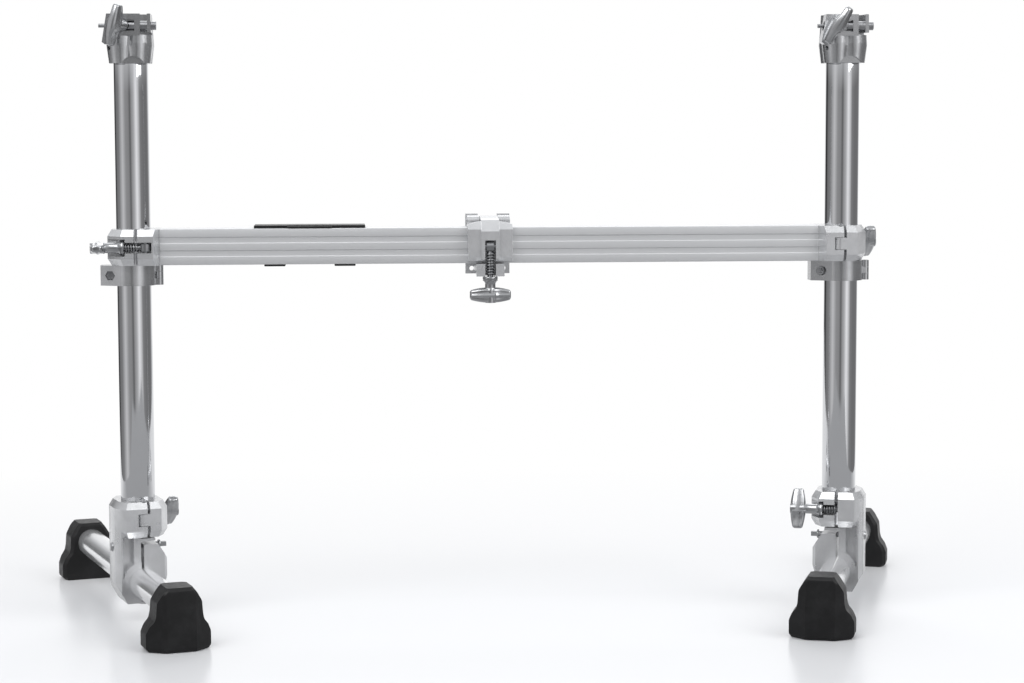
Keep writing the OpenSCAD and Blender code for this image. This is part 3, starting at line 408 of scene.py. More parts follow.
class Workshop:
    """Turns shells into pieces, softens copies of the solids, and dresses both."""

    def __init__(self) -> None:
        """Starts with no finishes made."""
        self.materials: dict[Finish, bpy.types.Material] = {}

    def material(self, finish: Finish) -> bpy.types.Material:
        """The finish's material, made on first use."""
        if finish not in self.materials:
            self.materials[finish] = FINISHES[finish].build(finish.value)
        return self.materials[finish]

    def make(self, node: str, ending: str, shell: Shell, body: str, finish: Finish,
             crease: float = CREASE, slot: Finish | None = None) -> bpy.types.Object:
        """A piece made of a shell, standing for a solid.

        Args:
            node: the solid's name.
            ending: what the piece's name adds to it.
            shell: its surface in the row frame, in millimetres.
            body: the body that carries it.
            finish: what it is dressed in.
            crease: edges sharper than this many degrees stay sharp.
            slot: the finish whose slot it is in, if another.
        """
        name = f"{node}_{ending}"
        mesh = bpy.data.meshes.new(name)
        mesh.from_pydata((shell.vertices * MM).tolist(), [], shell.faces)
        mesh.update()
        mesh.validate()
        self.smooth(mesh, crease)
        mesh.materials.append(self.material(finish))
        piece = add_object(name, mesh)
        self.stands_for(piece, body, slot or finish, node)
        return piece

    @staticmethod
    def smooth(mesh: bpy.types.Mesh, crease: float) -> None:
        """Shades a mesh smooth, but for edges whose faces meet at more than crease degrees."""
        work = bmesh.new()
        work.from_mesh(mesh)
        limit = math.radians(crease)
        for f in work.faces:
            f.smooth = True
        for e in work.edges:
            e.smooth = len(e.link_faces) == 2 and e.calc_face_angle(0.0) < limit
        work.to_mesh(mesh)
        work.free()

    def softened(self, node: str, width: float, finish: Finish) -> bpy.types.Object:
        """A copy of a solid with its edges rounded.

        Args:
            node: the solid's name.
            width: of the rounding, in millimetres.
            finish: what it is dressed in.
        """
        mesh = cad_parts[node].data.copy()
        mesh.name = node + "_cast"
        work = bmesh.new()
        work.from_mesh(mesh)
        bmesh.ops.remove_doubles(work, verts=work.verts, dist=MERGE)
        bmesh.ops.dissolve_limit(
            work, angle_limit=math.radians(FLAT), verts=work.verts, edges=work.edges
        )
        sharp = [
            e for e in work.edges
            if len(e.link_faces) == 2 and e.calc_face_angle(0.0) > math.radians(SHARP)
        ]
        bmesh.ops.bevel(
            work, geom=sharp, offset=width * MM, offset_type="OFFSET", segments=3,
            profile=0.5, affect="EDGES", clamp_overlap=True, miter_outer="ARC",
        )
        bmesh.ops.triangulate(work, faces=[f for f in work.faces if len(f.verts) > 4])
        work.to_mesh(mesh)
        work.free()
        self.smooth(mesh, CAST_CREASE)
        mesh.materials.clear()
        mesh.materials.append(self.material(finish))
        piece = add_object(node + "_cast", mesh)
        self.weigh_normals(piece)
        return piece

    @staticmethod
    def drawn_in(mesh: bpy.types.Mesh, depth: float) -> None:
        """Moves each vertex in by a depth in millimetres, p - n * depth, so that a pin turns freely."""
        places = np.empty(3 * len(mesh.vertices), np.float32)
        normals = np.empty_like(places)
        mesh.vertices.foreach_get("co", places)
        mesh.vertex_normals.foreach_get("vector", normals)
        mesh.vertices.foreach_set("co", places - normals * depth * MM)
        mesh.update()

    @staticmethod
    def weigh_normals(piece: bpy.types.Object) -> None:
        """Lets large faces steer the shading, so that flats stay flat beside round edges."""
        weighted = piece.modifiers.new("weighted", "WEIGHTED_NORMAL")
        weighted.keep_sharp = True
        weighted.weight = NORMAL_WEIGHT

    @staticmethod
    def stands_for(piece: bpy.types.Object, body: str, slot: Finish, node: str) -> None:
        """Rides a piece on its body and hides the solid it stands for."""
        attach(piece, body)
        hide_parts(node)
        LOG.info("%s: %d faces on %s", piece.name, len(piece.data.polygons), body)

    def soften(self, node: str, body: str, width: float, finish: Finish,
               slot: Finish | None = None) -> None:
        """Softens a solid and lets the copy stand for it."""
        self.stands_for(self.softened(node, width, finish), body, slot or finish, node)


# Finishes


Socket = bpy.types.NodeSocket
Value = float | Sequence[float] | Socket


@dataclass
class Nodes:
    """A node tree with short calls for the nodes used here."""

    tree: bpy.types.NodeTree

    def fill(self, node: bpy.types.Node, inputs: dict[str | int, Value]) -> None:
        """Feeds a node's inputs, each by a link from an output or with a plain value."""
        for key, value in inputs.items():
            entry = node.inputs[key]
            if isinstance(value, Socket):
                self.tree.links.new(value, entry)
            elif entry.type == "RGBA":
                entry.default_value = (*value, 1.0)
            else:
                entry.default_value = value

    def add(self, kind: str, inputs: dict[str | int, Value] | None = None,
            **settings: str) -> bpy.types.Node:
        """A shader node of a kind, with its settings, and inputs fed by name or number."""
        made = self.tree.nodes.new("ShaderNode" + kind)
        for key, value in settings.items():
            setattr(made, key, value)
        self.fill(made, inputs or {})
        return made

    def pattern(self, stretch: tuple[float, float, float] = (1.0, 1.0, 1.0)) -> Socket:
        """Object coordinates, stretched along each axis."""
        where = self.add("TexCoord").outputs["Object"]
        return self.add("Mapping", {"Vector": where, "Scale": stretch}).outputs["Vector"]

    def noise(self, where: Socket, scale: float, detail: float = 4.0, rough: float = 0.55) -> Socket:
        """A noise value read at a place."""
        inputs = {"Vector": where, "Scale": scale, "Detail": detail, "Roughness": rough}
        return self.add("TexNoise", inputs).outputs["Fac"]

    def spread(self, value: Socket, low: float = 0.0, high: float = 1.0, start: float = 0.3,
               end: float = 0.7) -> Socket:
        """A value between start and end, carried to low and high."""
        inputs = {"Value": value, "From Min": start, "From Max": end, "To Min": low, "To Max": high}
        return self.add("MapRange", inputs).outputs["Result"]

    def tint(self, value: Socket, low: Value, high: Value) -> Socket:
        """A colour that runs from low to high with a value."""
        made = self.add("Mix", {"Factor": value}, data_type="RGBA")
        ends = [i for i, entry in enumerate(made.inputs) if entry.type == "RGBA"]
        self.fill(made, dict(zip(ends, (low, high))))
        return next(s for s in made.outputs if s.type == "RGBA")

    def maths(self, operation: str, a: Value, b: Value) -> Socket:
        """A sum, product or other reckoning of two values."""
        return self.add("Math", {0: a, 1: b}, operation=operation).outputs[0]

    def mixed(self, share: Socket, first: Socket, second: Socket) -> Socket:
        """The first shader, giving way to the second as share grows to one."""
        return self.add("MixShader", {0: share, 1: first, 2: second}).outputs[0]

    def background(self, colour: Value, strength: float = 1.0) -> Socket:
        """A background of a colour."""
        return self.add("Background", {"Color": colour, "Strength": strength}).outputs[0]

    def glow(self, colour: Value) -> Socket:
        """A surface that gives off a colour."""
        return self.add("Emission", {"Color": colour}).outputs[0]

    def bump(self, height: Socket, depth: float, below: Socket | None = None) -> Socket:
        """A normal bent by a height, so many millimetres deep, over an earlier one if given."""
        under = {} if below is None else {"Normal": below}
        inputs = {"Strength": 1.0, "Distance": depth * MM, "Height": height, **under}
        return self.add("Bump", inputs).outputs["Normal"]


def blank_material(name: str) -> tuple[bpy.types.Material, Nodes, bpy.types.Node]:
    """A new material, its nodes and its shader."""
    material = bpy.data.materials.new(name)
    material.use_nodes = True
    tree = material.node_tree
    return material, Nodes(tree), tree.nodes["Principled BSDF"]


@dataclass(frozen=True)
class MetalFinish:
    """Plated or bare metal with grain, a cloudy sheen and fine lines.

    Attributes:
        dark: colour in the dull patches.
        light: colour in the bright patches.
        rough: roughness in the bright and in the dull patches.
        cloud: patches per metre.
        grain: specks per metre of the cast or plated skin.
        grain_depth: how deep the grain reads, in millimetres.
        lines: stretch of the fine lines along X, Y and Z; zero along the way they run.
        line_depth: how deep the lines read, in millimetres.
        metallic: how metallic the surface is.
    """

    dark: tuple[float, float, float]
    light: tuple[float, float, float]
    rough: tuple[float, float]
    cloud: float
    grain: float
    grain_depth: float
    lines: tuple[float, float, float] = (0.0, 0.0, 0.0)
    line_depth: float = 0.0
    metallic: float = 1.0

    def build(self, name: str) -> bpy.types.Material:
        """The finish as a node material."""
        material, n, shader = blank_material(name)
        plain = n.pattern()
        clouds = n.noise(plain, self.cloud, 5.0, 0.6)
        normal = n.bump(n.noise(plain, self.grain, 3.0), self.grain_depth)
        if self.line_depth:
            lines = n.noise(n.pattern(self.lines), 1.0, 2.0, 0.5)
            normal = n.bump(lines, self.line_depth, normal)
        n.fill(shader, {
            "Base Color": n.tint(n.spread(clouds), self.dark, self.light),
            "Roughness": n.spread(clouds, self.rough[1], self.rough[0]),
            "Metallic": self.metallic,
            "Normal": normal,
        })
        return material


@dataclass(frozen=True)
class MouldedFinish:
    """Rubber or plastic with a fine mould grain and a little dust.

    Attributes:
        dark: the piece's own colour.
        dusty: colour where dust clings.
        rough: least and greatest roughness.
        grain: specks per metre.
        grain_depth: how deep the grain reads, in millimetres.
        specular: the shader's specular level.
        sheen: weight of the soft sheen.
    """

    dark: tuple[float, float, float]
    dusty: tuple[float, float, float]
    rough: tuple[float, float]
    grain: float
    grain_depth: float
    specular: float = 0.5
    sheen: float = 0.0

    def build(self, name: str) -> bpy.types.Material:
        """The finish as a node material."""
        material, n, shader = blank_material(name)
        plain = n.pattern()
        dust = n.spread(n.noise(plain, 45.0, 8.0, 0.7), start=0.45, end=0.8)
        n.fill(shader, {
            "Base Color": n.tint(dust, self.dark, self.dusty),
            "Roughness": n.spread(n.noise(plain, 160.0), *self.rough),
            "Specular IOR Level": self.specular,
            "Sheen Weight": self.sheen,
            "Normal": n.bump(n.noise(plain, self.grain), self.grain_depth),
        })
        return material


FINISHES: dict[Finish, MetalFinish | MouldedFinish] = {
    Finish.TUBE_CHROME: MetalFinish(
        (0.70, 0.705, 0.72), (0.75, 0.755, 0.77), (0.04, 0.07), 10.0, 900.0, 0.0004,
        (260.0, 260.0, 3.0), 0.0006,
    ),
    # Leg tubes: real chrome gloss, with a paler, partly diffuse base colour that is a painted reflection
    # of the white floor.
    Finish.LEG_CHROME: MetalFinish(
        (0.88, 0.885, 0.895), (0.93, 0.935, 0.945), (0.12, 0.18), 10.0, 900.0, 0.0008,
        (260.0, 3.0, 260.0), 0.001, 0.75,
    ),
    Finish.ANODISED: MetalFinish(
        (0.63, 0.635, 0.645), (0.67, 0.675, 0.685), (0.52, 0.58), 9.0, 2600.0, 0.004,
        (2.0, 900.0, 900.0), 0.006, 0.82,
    ),
    Finish.CAST: MetalFinish(
        (0.60, 0.605, 0.615), (0.74, 0.745, 0.755), (0.20, 0.29), 34.0, 1200.0, 0.005,
        (700.0, 700.0, 24.0), 0.005, 0.74,
    ),
    Finish.ROUND_CAST: MetalFinish(
        (0.50, 0.505, 0.515), (0.62, 0.625, 0.635), (0.13, 0.21), 34.0, 1200.0, 0.003,
        (700.0, 700.0, 24.0), 0.003, 0.92,
    ),
    Finish.WING: MetalFinish(
        (0.40, 0.405, 0.415), (0.52, 0.525, 0.535), (0.18, 0.27), 70.0, 1500.0, 0.004,
    ),
    Finish.STEEL: MetalFinish(
        (0.26, 0.265, 0.275), (0.42, 0.425, 0.435), (0.24, 0.36), 90.0, 2200.0, 0.005,
    ),
    Finish.RUBBER: MouldedFinish(
        (0.006, 0.006, 0.0065), (0.016, 0.016, 0.017), (0.38, 0.52), 1500.0, 0.04, 0.30, 0.02,
    ),
    Finish.PLASTIC: MouldedFinish(
        (0.008, 0.008, 0.0085), (0.018, 0.018, 0.019), (0.34, 0.46), 2400.0, 0.02, 0.35,
    ),
}


# Sub-assemblies

# Columns round turned pieces: nuts and washers, necks and eyes, and hidden stubs.
NUT_SIDES = 72
NECK_SIDES = 64
STUB_SIDES = 24

# Radius in millimetres of the small face that closes a turned piece on its axis.
CORE = 0.1


@dataclass
class Tube:
    """A round tube with a thin wall and eased rims.

    Attributes:
        outer: outside radius in millimetres.
        wall: wall in millimetres.
        length: from end to end.
        sides: columns round the tube.
    """

    outer: float
    wall: float
    length: float
    sides: int = 144

    def shell(self) -> Shell:
        """The wall's outline turned about Z: outside going up, over the rim, inside going down."""
        r, inner, ease, nick = self.outer, self.outer - self.wall, 0.5, 0.15
        heights = np.linspace(ease, self.length - ease, 9)
        outline = [(r, float(h)) for h in heights]
        outline += [(r - nick, self.length - nick), (r - ease, self.length), (inner + ease, self.length)]
        outline += [(inner, self.length - ease), (inner, ease), (inner + ease, 0.0), (r - ease, 0.0)]
        outline.append((r - nick, nick))
        return revolved(outline, self.sides, ring=True)


@dataclass
class Wing:
    """A cast wing across a bolt, with a scoop for a finger in each half.

    Attributes:
        span: from tip to tip.
        mid_w: width along the bolt in the middle.
        tip_w: width along the bolt at the tips.
        mid_t: thickness in the middle.
        tip_t: thickness at the tips.
        scoop: depth of a scoop as a share of the thickness.
        edge: length over which the tips round off.
        power: of the section's sine and cosine: the smaller, the squarer.
        fall: share of the thickness lost towards the long edges.
        flute: half depth of a flute as a share of the thickness.
        root: share of the half span without a scoop.
    """

    span: float = 46.0
    mid_w: float = SIZES.wing_mid_w
    tip_w: float = 10.5
    mid_t: float = 14.5
    tip_t: float = 8.5
    scoop: float = 0.26
    edge: float = 2.2
    power: float = 0.42
    fall: float = 0.26
    flute: float = 0.045
    root: float = 0.2

    def shell(self) -> Shell:
        """Rounded rectangles along X, whose width and thickness fall off as 1 - u squared.

        A shallow scoop is taken from the front of one half and the back of the other, and three
        soft flutes run along both faces.
        """
        half, edge = self.span / 2, self.edge
        x = np.concatenate([
            -half + edge * (1 - np.cos(np.linspace(0, math.pi / 2, 7))),
            np.linspace(-half + edge, half - edge, 91)[1:-1],
            half - edge * (1 - np.cos(np.linspace(math.pi / 2, 0, 7))),
        ])
        u = x / half
        near_end = np.clip((np.abs(x) - (half - edge)) / edge, 0, 1)
        shrink = edge * (1 - np.sqrt(1 - near_end**2))
        width = self.tip_w + (self.mid_w - self.tip_w) * (1 - u**2) - 2 * shrink
        thick = self.tip_t + (self.mid_t - self.tip_t) * (1 - u**2) - 2 * shrink
        a = once_round(NUT_SIDES)
        c, s = np.cos(a), np.sin(a)
        across = np.sign(s) * np.abs(s) ** self.power
        front = np.sign(c) * np.abs(c) ** self.power
        ridge = 1 - self.fall * np.abs(across) ** 1.2 - self.flute * (1 - np.cos(3 * math.pi * across))
        reach = np.clip((u[:, None] * np.sign(c)[None] - self.root) / (1 - self.root), 0, 1)
        hollow = self.scoop * np.sin(math.pi * reach**0.8) * (1 - 0.25 * across**2)[None]
        y = thick[:, None] / 2 * front[None] * (ridge[None] - hollow)
        z = width[:, None] / 2 * across[None]
        return lattice(np.stack([np.repeat(x[:, None], len(a), axis=1), y, z], axis=-1))


@dataclass
class WingNut:
    """A wing nut on a neck with a flared foot, along +Z from its seat.

    Attributes:
        neck_len: from the seat to the wing.
        turn: the wing's angle about the bolt, in degrees.
    """

    neck_len: float
    turn: float

    def shell(self) -> Shell:
        """The neck is a profile turned about Z, and the wing sits on its end."""
        foot, neck, top = SIZES.washer_d / 2, SIZES.neck_d / 2, self.neck_len
        bore, rim, flare_h = SIZES.bolt_d / 2 + 0.2, 0.9, 4.3
        steps = np.linspace(0, 1, 9)
        flare = [(neck + (foot - neck) * (1 - k) ** 1.8, rim + flare_h * k) for k in steps]
        profile = [(bore, 0.0), (foot - 0.4, 0.0), (foot, 0.35)] + flare
        profile += [(neck, top * 0.6 + 2.0), (neck, top + 0.5), (neck + 0.8, top + 2.0), (bore, top + 2.0)]
        body = revolved(profile, NUT_SIDES, ring=True)
        low, end, wide = top + 1.0, top + SIZES.wing_mid_w - 1.0, neck + 0.6
        hub = revolved([(CORE, low), (wide, low), (wide, end - 0.3), (neck, end), (CORE, end)], NUT_SIDES)
        across = Place().turned("z", self.turn).moved(0, 0, top - 1.0 + SIZES.wing_mid_w / 2)
        return body.joined(hub).joined(Wing().shell().placed(across))


@dataclass
class ClampBolt:
    """Bolt, spring, washer and wing nut of one clamp, along a bolt's frame.

    Attributes:
        place: the bolt's frame, +Z outwards from the pivot.
        prefix: the first word or words of the solids' names.
        side: the last word of the solids' names, with its underscore, or nothing.
        reach: from the pivot to the washer.
        neck_len: the nut's neck.
        turn: the wing's angle.
        bolt_body: the body that carries the bolt and spring.
        has_eye: the bolt swings on an eye; otherwise it is a plain stud.
        stud_depth: how far a stud reaches behind the pivot's place.
        play: between the bolt's pieces, end to end.
    """

    place: Place
    prefix: str
    side: str
    reach: float
    neck_len: float
    turn: float
    bolt_body: str
    has_eye: bool = True
    stud_depth: float = 7.5
    play: float = 0.3

    def build(self, shop: Workshop) -> None:
        """Makes the four pieces, each at its distance from the pivot.

        Washer and nut have bodies of their own.
        """
        start = SIZES.eye_d / 2 + self.play
        spring = coil(SIZES.bolt_d / 2 + SIZES.spring_gap + SIZES.wire_d / 2, SIZES.wire_d,
                      SIZES.spring_pitch, self.reach - self.play - start)
        nut = WingNut(self.neck_len, self.turn).shell()
        nut_at = self.reach + SIZES.washer_t + 0.1
        bolt, steel, chrome = "bolt" if self.has_eye else "stud", Finish.STEEL, Finish.WING
        washer_body, nut_body = (f"{self.prefix}_{word}{self.side}" for word in ("washer", "nut"))
        for word, ending, shell, along, body, finish, crease in (
            (bolt, "turned", self.bolt(), 0.0, self.bolt_body, steel, CREASE),
            ("spring", "wound", spring, start, self.bolt_body, steel, 70.0),
            ("washer", "stamped", self.washer(), self.reach, washer_body, chrome, CREASE),
            ("wing_nut", "cast", nut, nut_at, nut_body, chrome, CREASE),
        ):
            node = f"{self.prefix}_{word}{self.side}"
            shop.make(node, ending, shell.placed(self.place.moved(0, 0, along)), body, finish, crease)

    def bolt(self) -> Shell:
        """A threaded shank, with an eye turned about X or a plain root."""
        end = self.reach + SIZES.washer_t + self.neck_len + SIZES.wing_mid_w / 2
        start = 3.0 if self.has_eye else -self.stud_depth
        shank = threaded_shank(SIZES.bolt_d / 2, start, end, SIZES.thread_pitch, 0.45)
        if not self.has_eye:
            return shank
        r, h, hole, ease = SIZES.eye_d / 2, SIZES.eye_h / 2, SIZES.pin_d / 2 + 0.08, 0.6
        profile = [(hole, -h), (r - ease, -h), (r, -h + ease), (r, h - ease), (r - ease, h), (hole, h)]
        eye = revolved(profile, NECK_SIDES, ring=True)
        return shank.joined(eye.placed(Place().turned("y", 90)))

    @staticmethod
    def washer() -> Shell:
        """A thick washer with rounded rims."""
        r, t, hole, ease, nick = SIZES.washer_d / 2, SIZES.washer_t, SIZES.bolt_d / 2 + 0.1, 0.6, 0.17
        return revolved([(hole, 0.0), (r - ease, 0.0), (r - nick, nick), (r, ease), (r, t - ease),
                         (r - nick, t - nick), (r - ease, t), (hole, t)], NUT_SIDES, ring=True)


@dataclass
class Foot:
    """A rubber foot that wraps a leg tube's end, its outer face at Y = 0.

    Attributes:
        length: along the leg.
        width: at the floor.
        top: height of its flat top.
        facet: half width of its outer face, between the slanted sides.
        slant: how far the slanted sides fall back at the floor.
        bevel: of its inner corners.
        corner: radius of its upright edges.
        rib_depth: how far the sole's hollows rise.
        rib_fade: height at which the hollows end.
        rib_pitch: from rib to rib.
    """

    length: float = 44.0
    width: float = 71.0
    top: float = SIZES.leg_z + SIZES.leg_d / 2 + SIZES.foot_over
    facet: float = 16.0
    slant: float = 15.0
    bevel: float = 4.0
    corner: float = 1.2
    rib_depth: float = 0.9
    rib_fade: float = 3.0
    rib_pitch: float = 17.75

    def shell(self) -> Shell:
        """Chamfered rectangles stacked along Z, from tables of half width and depth by height."""
        top, half, cut = self.top, self.width / 2, self.bevel
        wide_at = [0.0, 4.0, 19.0, top - 42, top - 36, top - 30, top - 16, top - 6, top]
        halves = [half - less for less in (3.0, 0.0, 0.0, 3.5, 8.5, 10.0, 11.0, 17.0, 21.5)]
        deep_at = [0.0, 4.0, top - 30, top - 3, top]
        z = np.unique(np.concatenate([
            np.linspace(0, 4, 5), np.linspace(4, top - 5, 44), np.linspace(top - 5, top, 8)
        ]))
        wide = self.eased(z, wide_at, halves, 1.3)
        front = self.eased(z, deep_at, [1.2, 0.0, 1.0, 3.0, 6.0], 1.0)
        back = self.length - self.eased(z, deep_at, [1.2, 0.0, 0.0, 3.0, 5.0], 1.0)
        rows = []
        for w, y0, y1, height in zip(wide, front, back, z):
            facet = min(self.facet, w - 3.0)
            side = y0 + (w - facet) * self.slant / (half - self.facet)
            corners = ((-w, side), (-facet, y0), (facet, y0), (w, side),
                       (w, y1 - cut), (w - cut, y1), (-w + cut, y1), (-w, y1 - cut))
            outline = rounded_corners([(x, y, self.corner) for x, y in corners], 3)
            rows.append(np.column_stack([outline, np.full(len(outline), height)]))
        points = np.array(rows)
        rib = self.rib_depth * np.clip(1 - points[..., 2] / self.rib_fade, 0, 1)
        points[..., 2] += rib * (np.cos(points[..., 0] * 2 * math.pi / self.rib_pitch) > 0.35)
        return lattice(points)

    @staticmethod
    def eased(z: np.ndarray, at: Sequence[float], value: Sequence[float], blur: float) -> np.ndarray:
        """A broken line through the table, averaged over a short height so that it bends softly."""
        steps = np.linspace(-blur, blur, 9)
        return np.mean([np.interp(np.clip(z + s, at[0], at[-1]), at, value) for s in steps], axis=0)


@dataclass
class Sided:
    """A sub-assembly that the frame has on both sides.

    Attributes:
        side: the side it belongs to.
    """

    side: Side


class Leg(Sided):
    """A leg tube with its two feet."""

    def build(self, shop: Workshop) -> None:
        """Makes the tube and both feet."""
        word, base = self.side.word, along_leg(self.side)
        length = SIZES.leg_front + SIZES.leg_rear - 2 * SIZES.foot_end
        tube = Tube(SIZES.leg_d / 2, SIZES.leg_wall, length).shell()
        lying = base.moved(0, SIZES.leg_rear - SIZES.foot_end, SIZES.leg_z).turned("x", 90)
        body = "leg_" + word
        shop.make("leg_tube_" + word, "drawn", tube.placed(lying), body, Finish.LEG_CHROME,
                  slot=Finish.TUBE_CHROME)
        for end, place in (("front", base.moved(0, -SIZES.leg_front, 0)),
                           ("rear", base.moved(0, SIZES.leg_rear, 0).turned("z", 180))):
            shell = Foot().shell().placed(place)
            foot = shop.make(f"foot_{end}_{word}", "moulded", shell, body, Finish.RUBBER, crease=46.0)
            shop.weigh_normals(foot)


class LegClamp(Sided):
    """The casting that holds a post over a leg tube, with its jaw and hardware."""

    def build(self, shop: Workshop) -> None:
        """Softens the castings and makes the bolt's pieces."""
        word = self.side.word
        body = "leg_clamp_" + word
        shop.soften("leg_clamp_" + word, body, 0.9, Finish.CAST)
        shop.soften("leg_jaw_" + word, "leg_jaw_" + word, 0.9, Finish.CAST)
        shop.soften("leg_hinge_pin_" + word, body, 0.35, Finish.STEEL)
        shop.soften("key_bolt_" + word, body, 0.3, Finish.WING)
        turn = 45.0 if self.side is Side.LEFT else 15.0
        ClampBolt(
            along_bolt(at_leg_clamp(self.side), SIZES.leg_shift), "leg", "_" + word, SIZES.seat_reach,
            SIZES.neck_len, turn, body, has_eye=False,
        ).build(shop)


class BarClamp(Sided):
    """A crossbar clamp with its jaw and swing bolt."""

    def build(self, shop: Workshop) -> None:
        """Softens the castings and makes the bolt's pieces."""
        word = self.side.word
        shop.soften("bar_clamp_" + word, "crossbar", 0.8, Finish.CAST)
        shop.soften("bar_jaw_" + word, "bar_jaw_" + word, 0.8, Finish.CAST)
        turn = 90.0 if self.side is Side.LEFT else 45.0
        ClampBolt(
            along_bolt(at_bar_clamp(self.side)), "bar", "_" + word, SIZES.seat_reach,
            SIZES.neck_len, turn, "bar_bolt_" + word,
        ).build(shop)


class Collar(Sided):
    """A stop collar in two halves."""

    def build(self, shop: Workshop) -> None:
        """Softens both halves and their hardware."""
        word = self.side.word
        for node in ("collar_front_" + word, "collar_rear_" + word):
            shop.soften(node, "collar_" + word, 0.7, Finish.ROUND_CAST, Finish.CAST)
        shop.soften("collar_hardware_" + word, "collar_" + word, 0.3, Finish.STEEL)


class TopClamp(Sided):
    """The tube clamp on top of a post, with its barrel and wing bolt."""

    def build(self, shop: Workshop) -> None:
        """Softens the casting and barrel, and makes the wing bolt."""
        word = self.side.word
        shop.soften("cap_" + word, "cap_" + word, 0.6, Finish.ROUND_CAST, Finish.CAST)
        shop.soften("cap_barrel_" + word, "cap_" + word, 0.1, Finish.STEEL)
        lean = 15.0 if self.side is Side.LEFT else 34.0
        bolt = self.wing_bolt(lean).placed(along_cap_bolt(self.side))
        shop.make("cap_wing_bolt_" + word, "cast", bolt, "cap_screw_" + word, Finish.WING)

    @staticmethod
    def wing_bolt(lean: float) -> Shell:
        """A wing that leans from upright by an angle in degrees, on a neck and a threaded shank.

        Inside the barrel's hole the shank is a slim plain stub, so that it turns freely.
        """
        tilt = math.radians(SIZES.cap_bolt_angle)
        neck, barrel, ease, slim = SIZES.neck_d / 2, SIZES.barrel_d / 2, 0.6, 2.1
        low = (barrel + 0.3 + neck * math.sin(tilt)) / math.cos(tilt)
        high = SIZES.cap_wing_reach - 3
        back, out = 1.5 - barrel, barrel + 3.0
        stub = revolved([(CORE, back), (slim, back), (slim, out + 1.0), (CORE, out + 1.0)], STUB_SIDES)
        shank = threaded_shank(SIZES.cap_bolt_d / 2 - 0.1, out, high, 1.0, 0.35).joined(stub)
        profile = [(CORE, low), (neck - ease, low), (neck, low + ease), (neck, high), (CORE, high)]
        collar = revolved(profile, NECK_SIDES)
        wing = Wing().shell().placed(Place().turned("z", 90 - lean).moved(0, 0, SIZES.cap_wing_reach))
        return shank.joined(collar).joined(wing)


class Post(Sided):
    """A post tube."""

    def build(self, shop: Workshop) -> None:
        """Makes the tube where the solid stands."""
        node = "post_" + self.side.word
        low, high = (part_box(node)[k].z / MM for k in (0, 1))
        tube = Tube(SIZES.post_d / 2, SIZES.post_wall, high - low).shell()
        tube = tube.placed(at_post(self.side).moved(0, 0, low))
        shop.make(node, "drawn", tube, node, Finish.TUBE_CHROME)


@dataclass
class Crossbar:
    """The grooved square bar, its cover plate and what fastens it.

    Attributes:
        half_length: from its middle to an end.
        half: half of its side.
        groove_w: width of a groove, and of the land between two.
        groove_depth: of a groove.
        corner: radius of its long edges.
        groove_corner: radius of the grooves' edges.
    """

    half_length: float = SIZES.post_x - SIZES.bar_end_gap
    half: float = SIZES.bar_size / 2
    groove_w: float = 7.4
    groove_depth: float = 0.8
    corner: float = 0.9
    groove_corner: float = 0.15

    def build(self, shop: Workshop) -> None:
        """Makes the bar, and softens the plate, pins and screws."""
        bar = extruded(self.outline(), np.linspace(-self.half_length, self.half_length, 9))
        bar = bar.placed(Place().moved(0, SIZES.post_y, SIZES.bar_z))
        shop.make("crossbar", "drawn", bar, "crossbar", Finish.ANODISED, crease=30.0)
        shop.soften("cover_plate", "crossbar", 0.9, Finish.PLASTIC)
        shop.soften("bar_clamp_pins", "crossbar", 0.35, Finish.STEEL)
        shop.soften("bar_end_screws", "crossbar", 0.3, Finish.STEEL)

    def outline(self) -> np.ndarray:
        """The bar's section: a square with rounded corners and two flat grooves in each upright face."""
        h, g, w, r = self.half, self.groove_depth, self.groove_w, self.corner
        face: list[tuple[float, float]] = []
        for row in (-1, 1):
            low, high = row * w - w / 2, row * w + w / 2
            face += [(h, low), (h - g, low + g), (h - g, high - g), (h, high)]
        near = [(y, z, self.groove_corner) for y, z in face]
        far = [(-y, z, self.groove_corner) for y, z in face[::-1]]
        return rounded_corners([(h, -h, r), *near, (h, h, r), (-h, h, r), *far, (-h, -h, r)], 3)


@dataclass
class CentreClamp:
    """The clamp on the middle of the crossbar."""

    def build(self, shop: Workshop) -> None:
        """Softens the castings and pins, and makes the bolt's pieces."""
        shop.soften("centre_body", "centre_body", 0.8, Finish.CAST)
        pin = shop.softened("centre_hinge_pin", 0.3, Finish.STEEL)
        shop.drawn_in(pin.data, 0.06)
        shop.stands_for(pin, "centre_body", Finish.STEEL, "centre_hinge_pin")
        shop.soften("centre_jaw", "centre_jaw", 0.8, Finish.CAST)
        shop.soften("centre_pivot_pin", "centre_jaw", 0.3, Finish.STEEL)
        ClampBolt(
            along_centre_bolt(), "centre", "", SIZES.centre_reach, SIZES.centre_neck_len, 0.0,
            "centre_bolt",
        ).build(shop)


# Studio

WHITE = (1.0, 1.0, 1.0)
PICTURE_WIDTH = 1024
SENSOR_WIDTH = 36.0


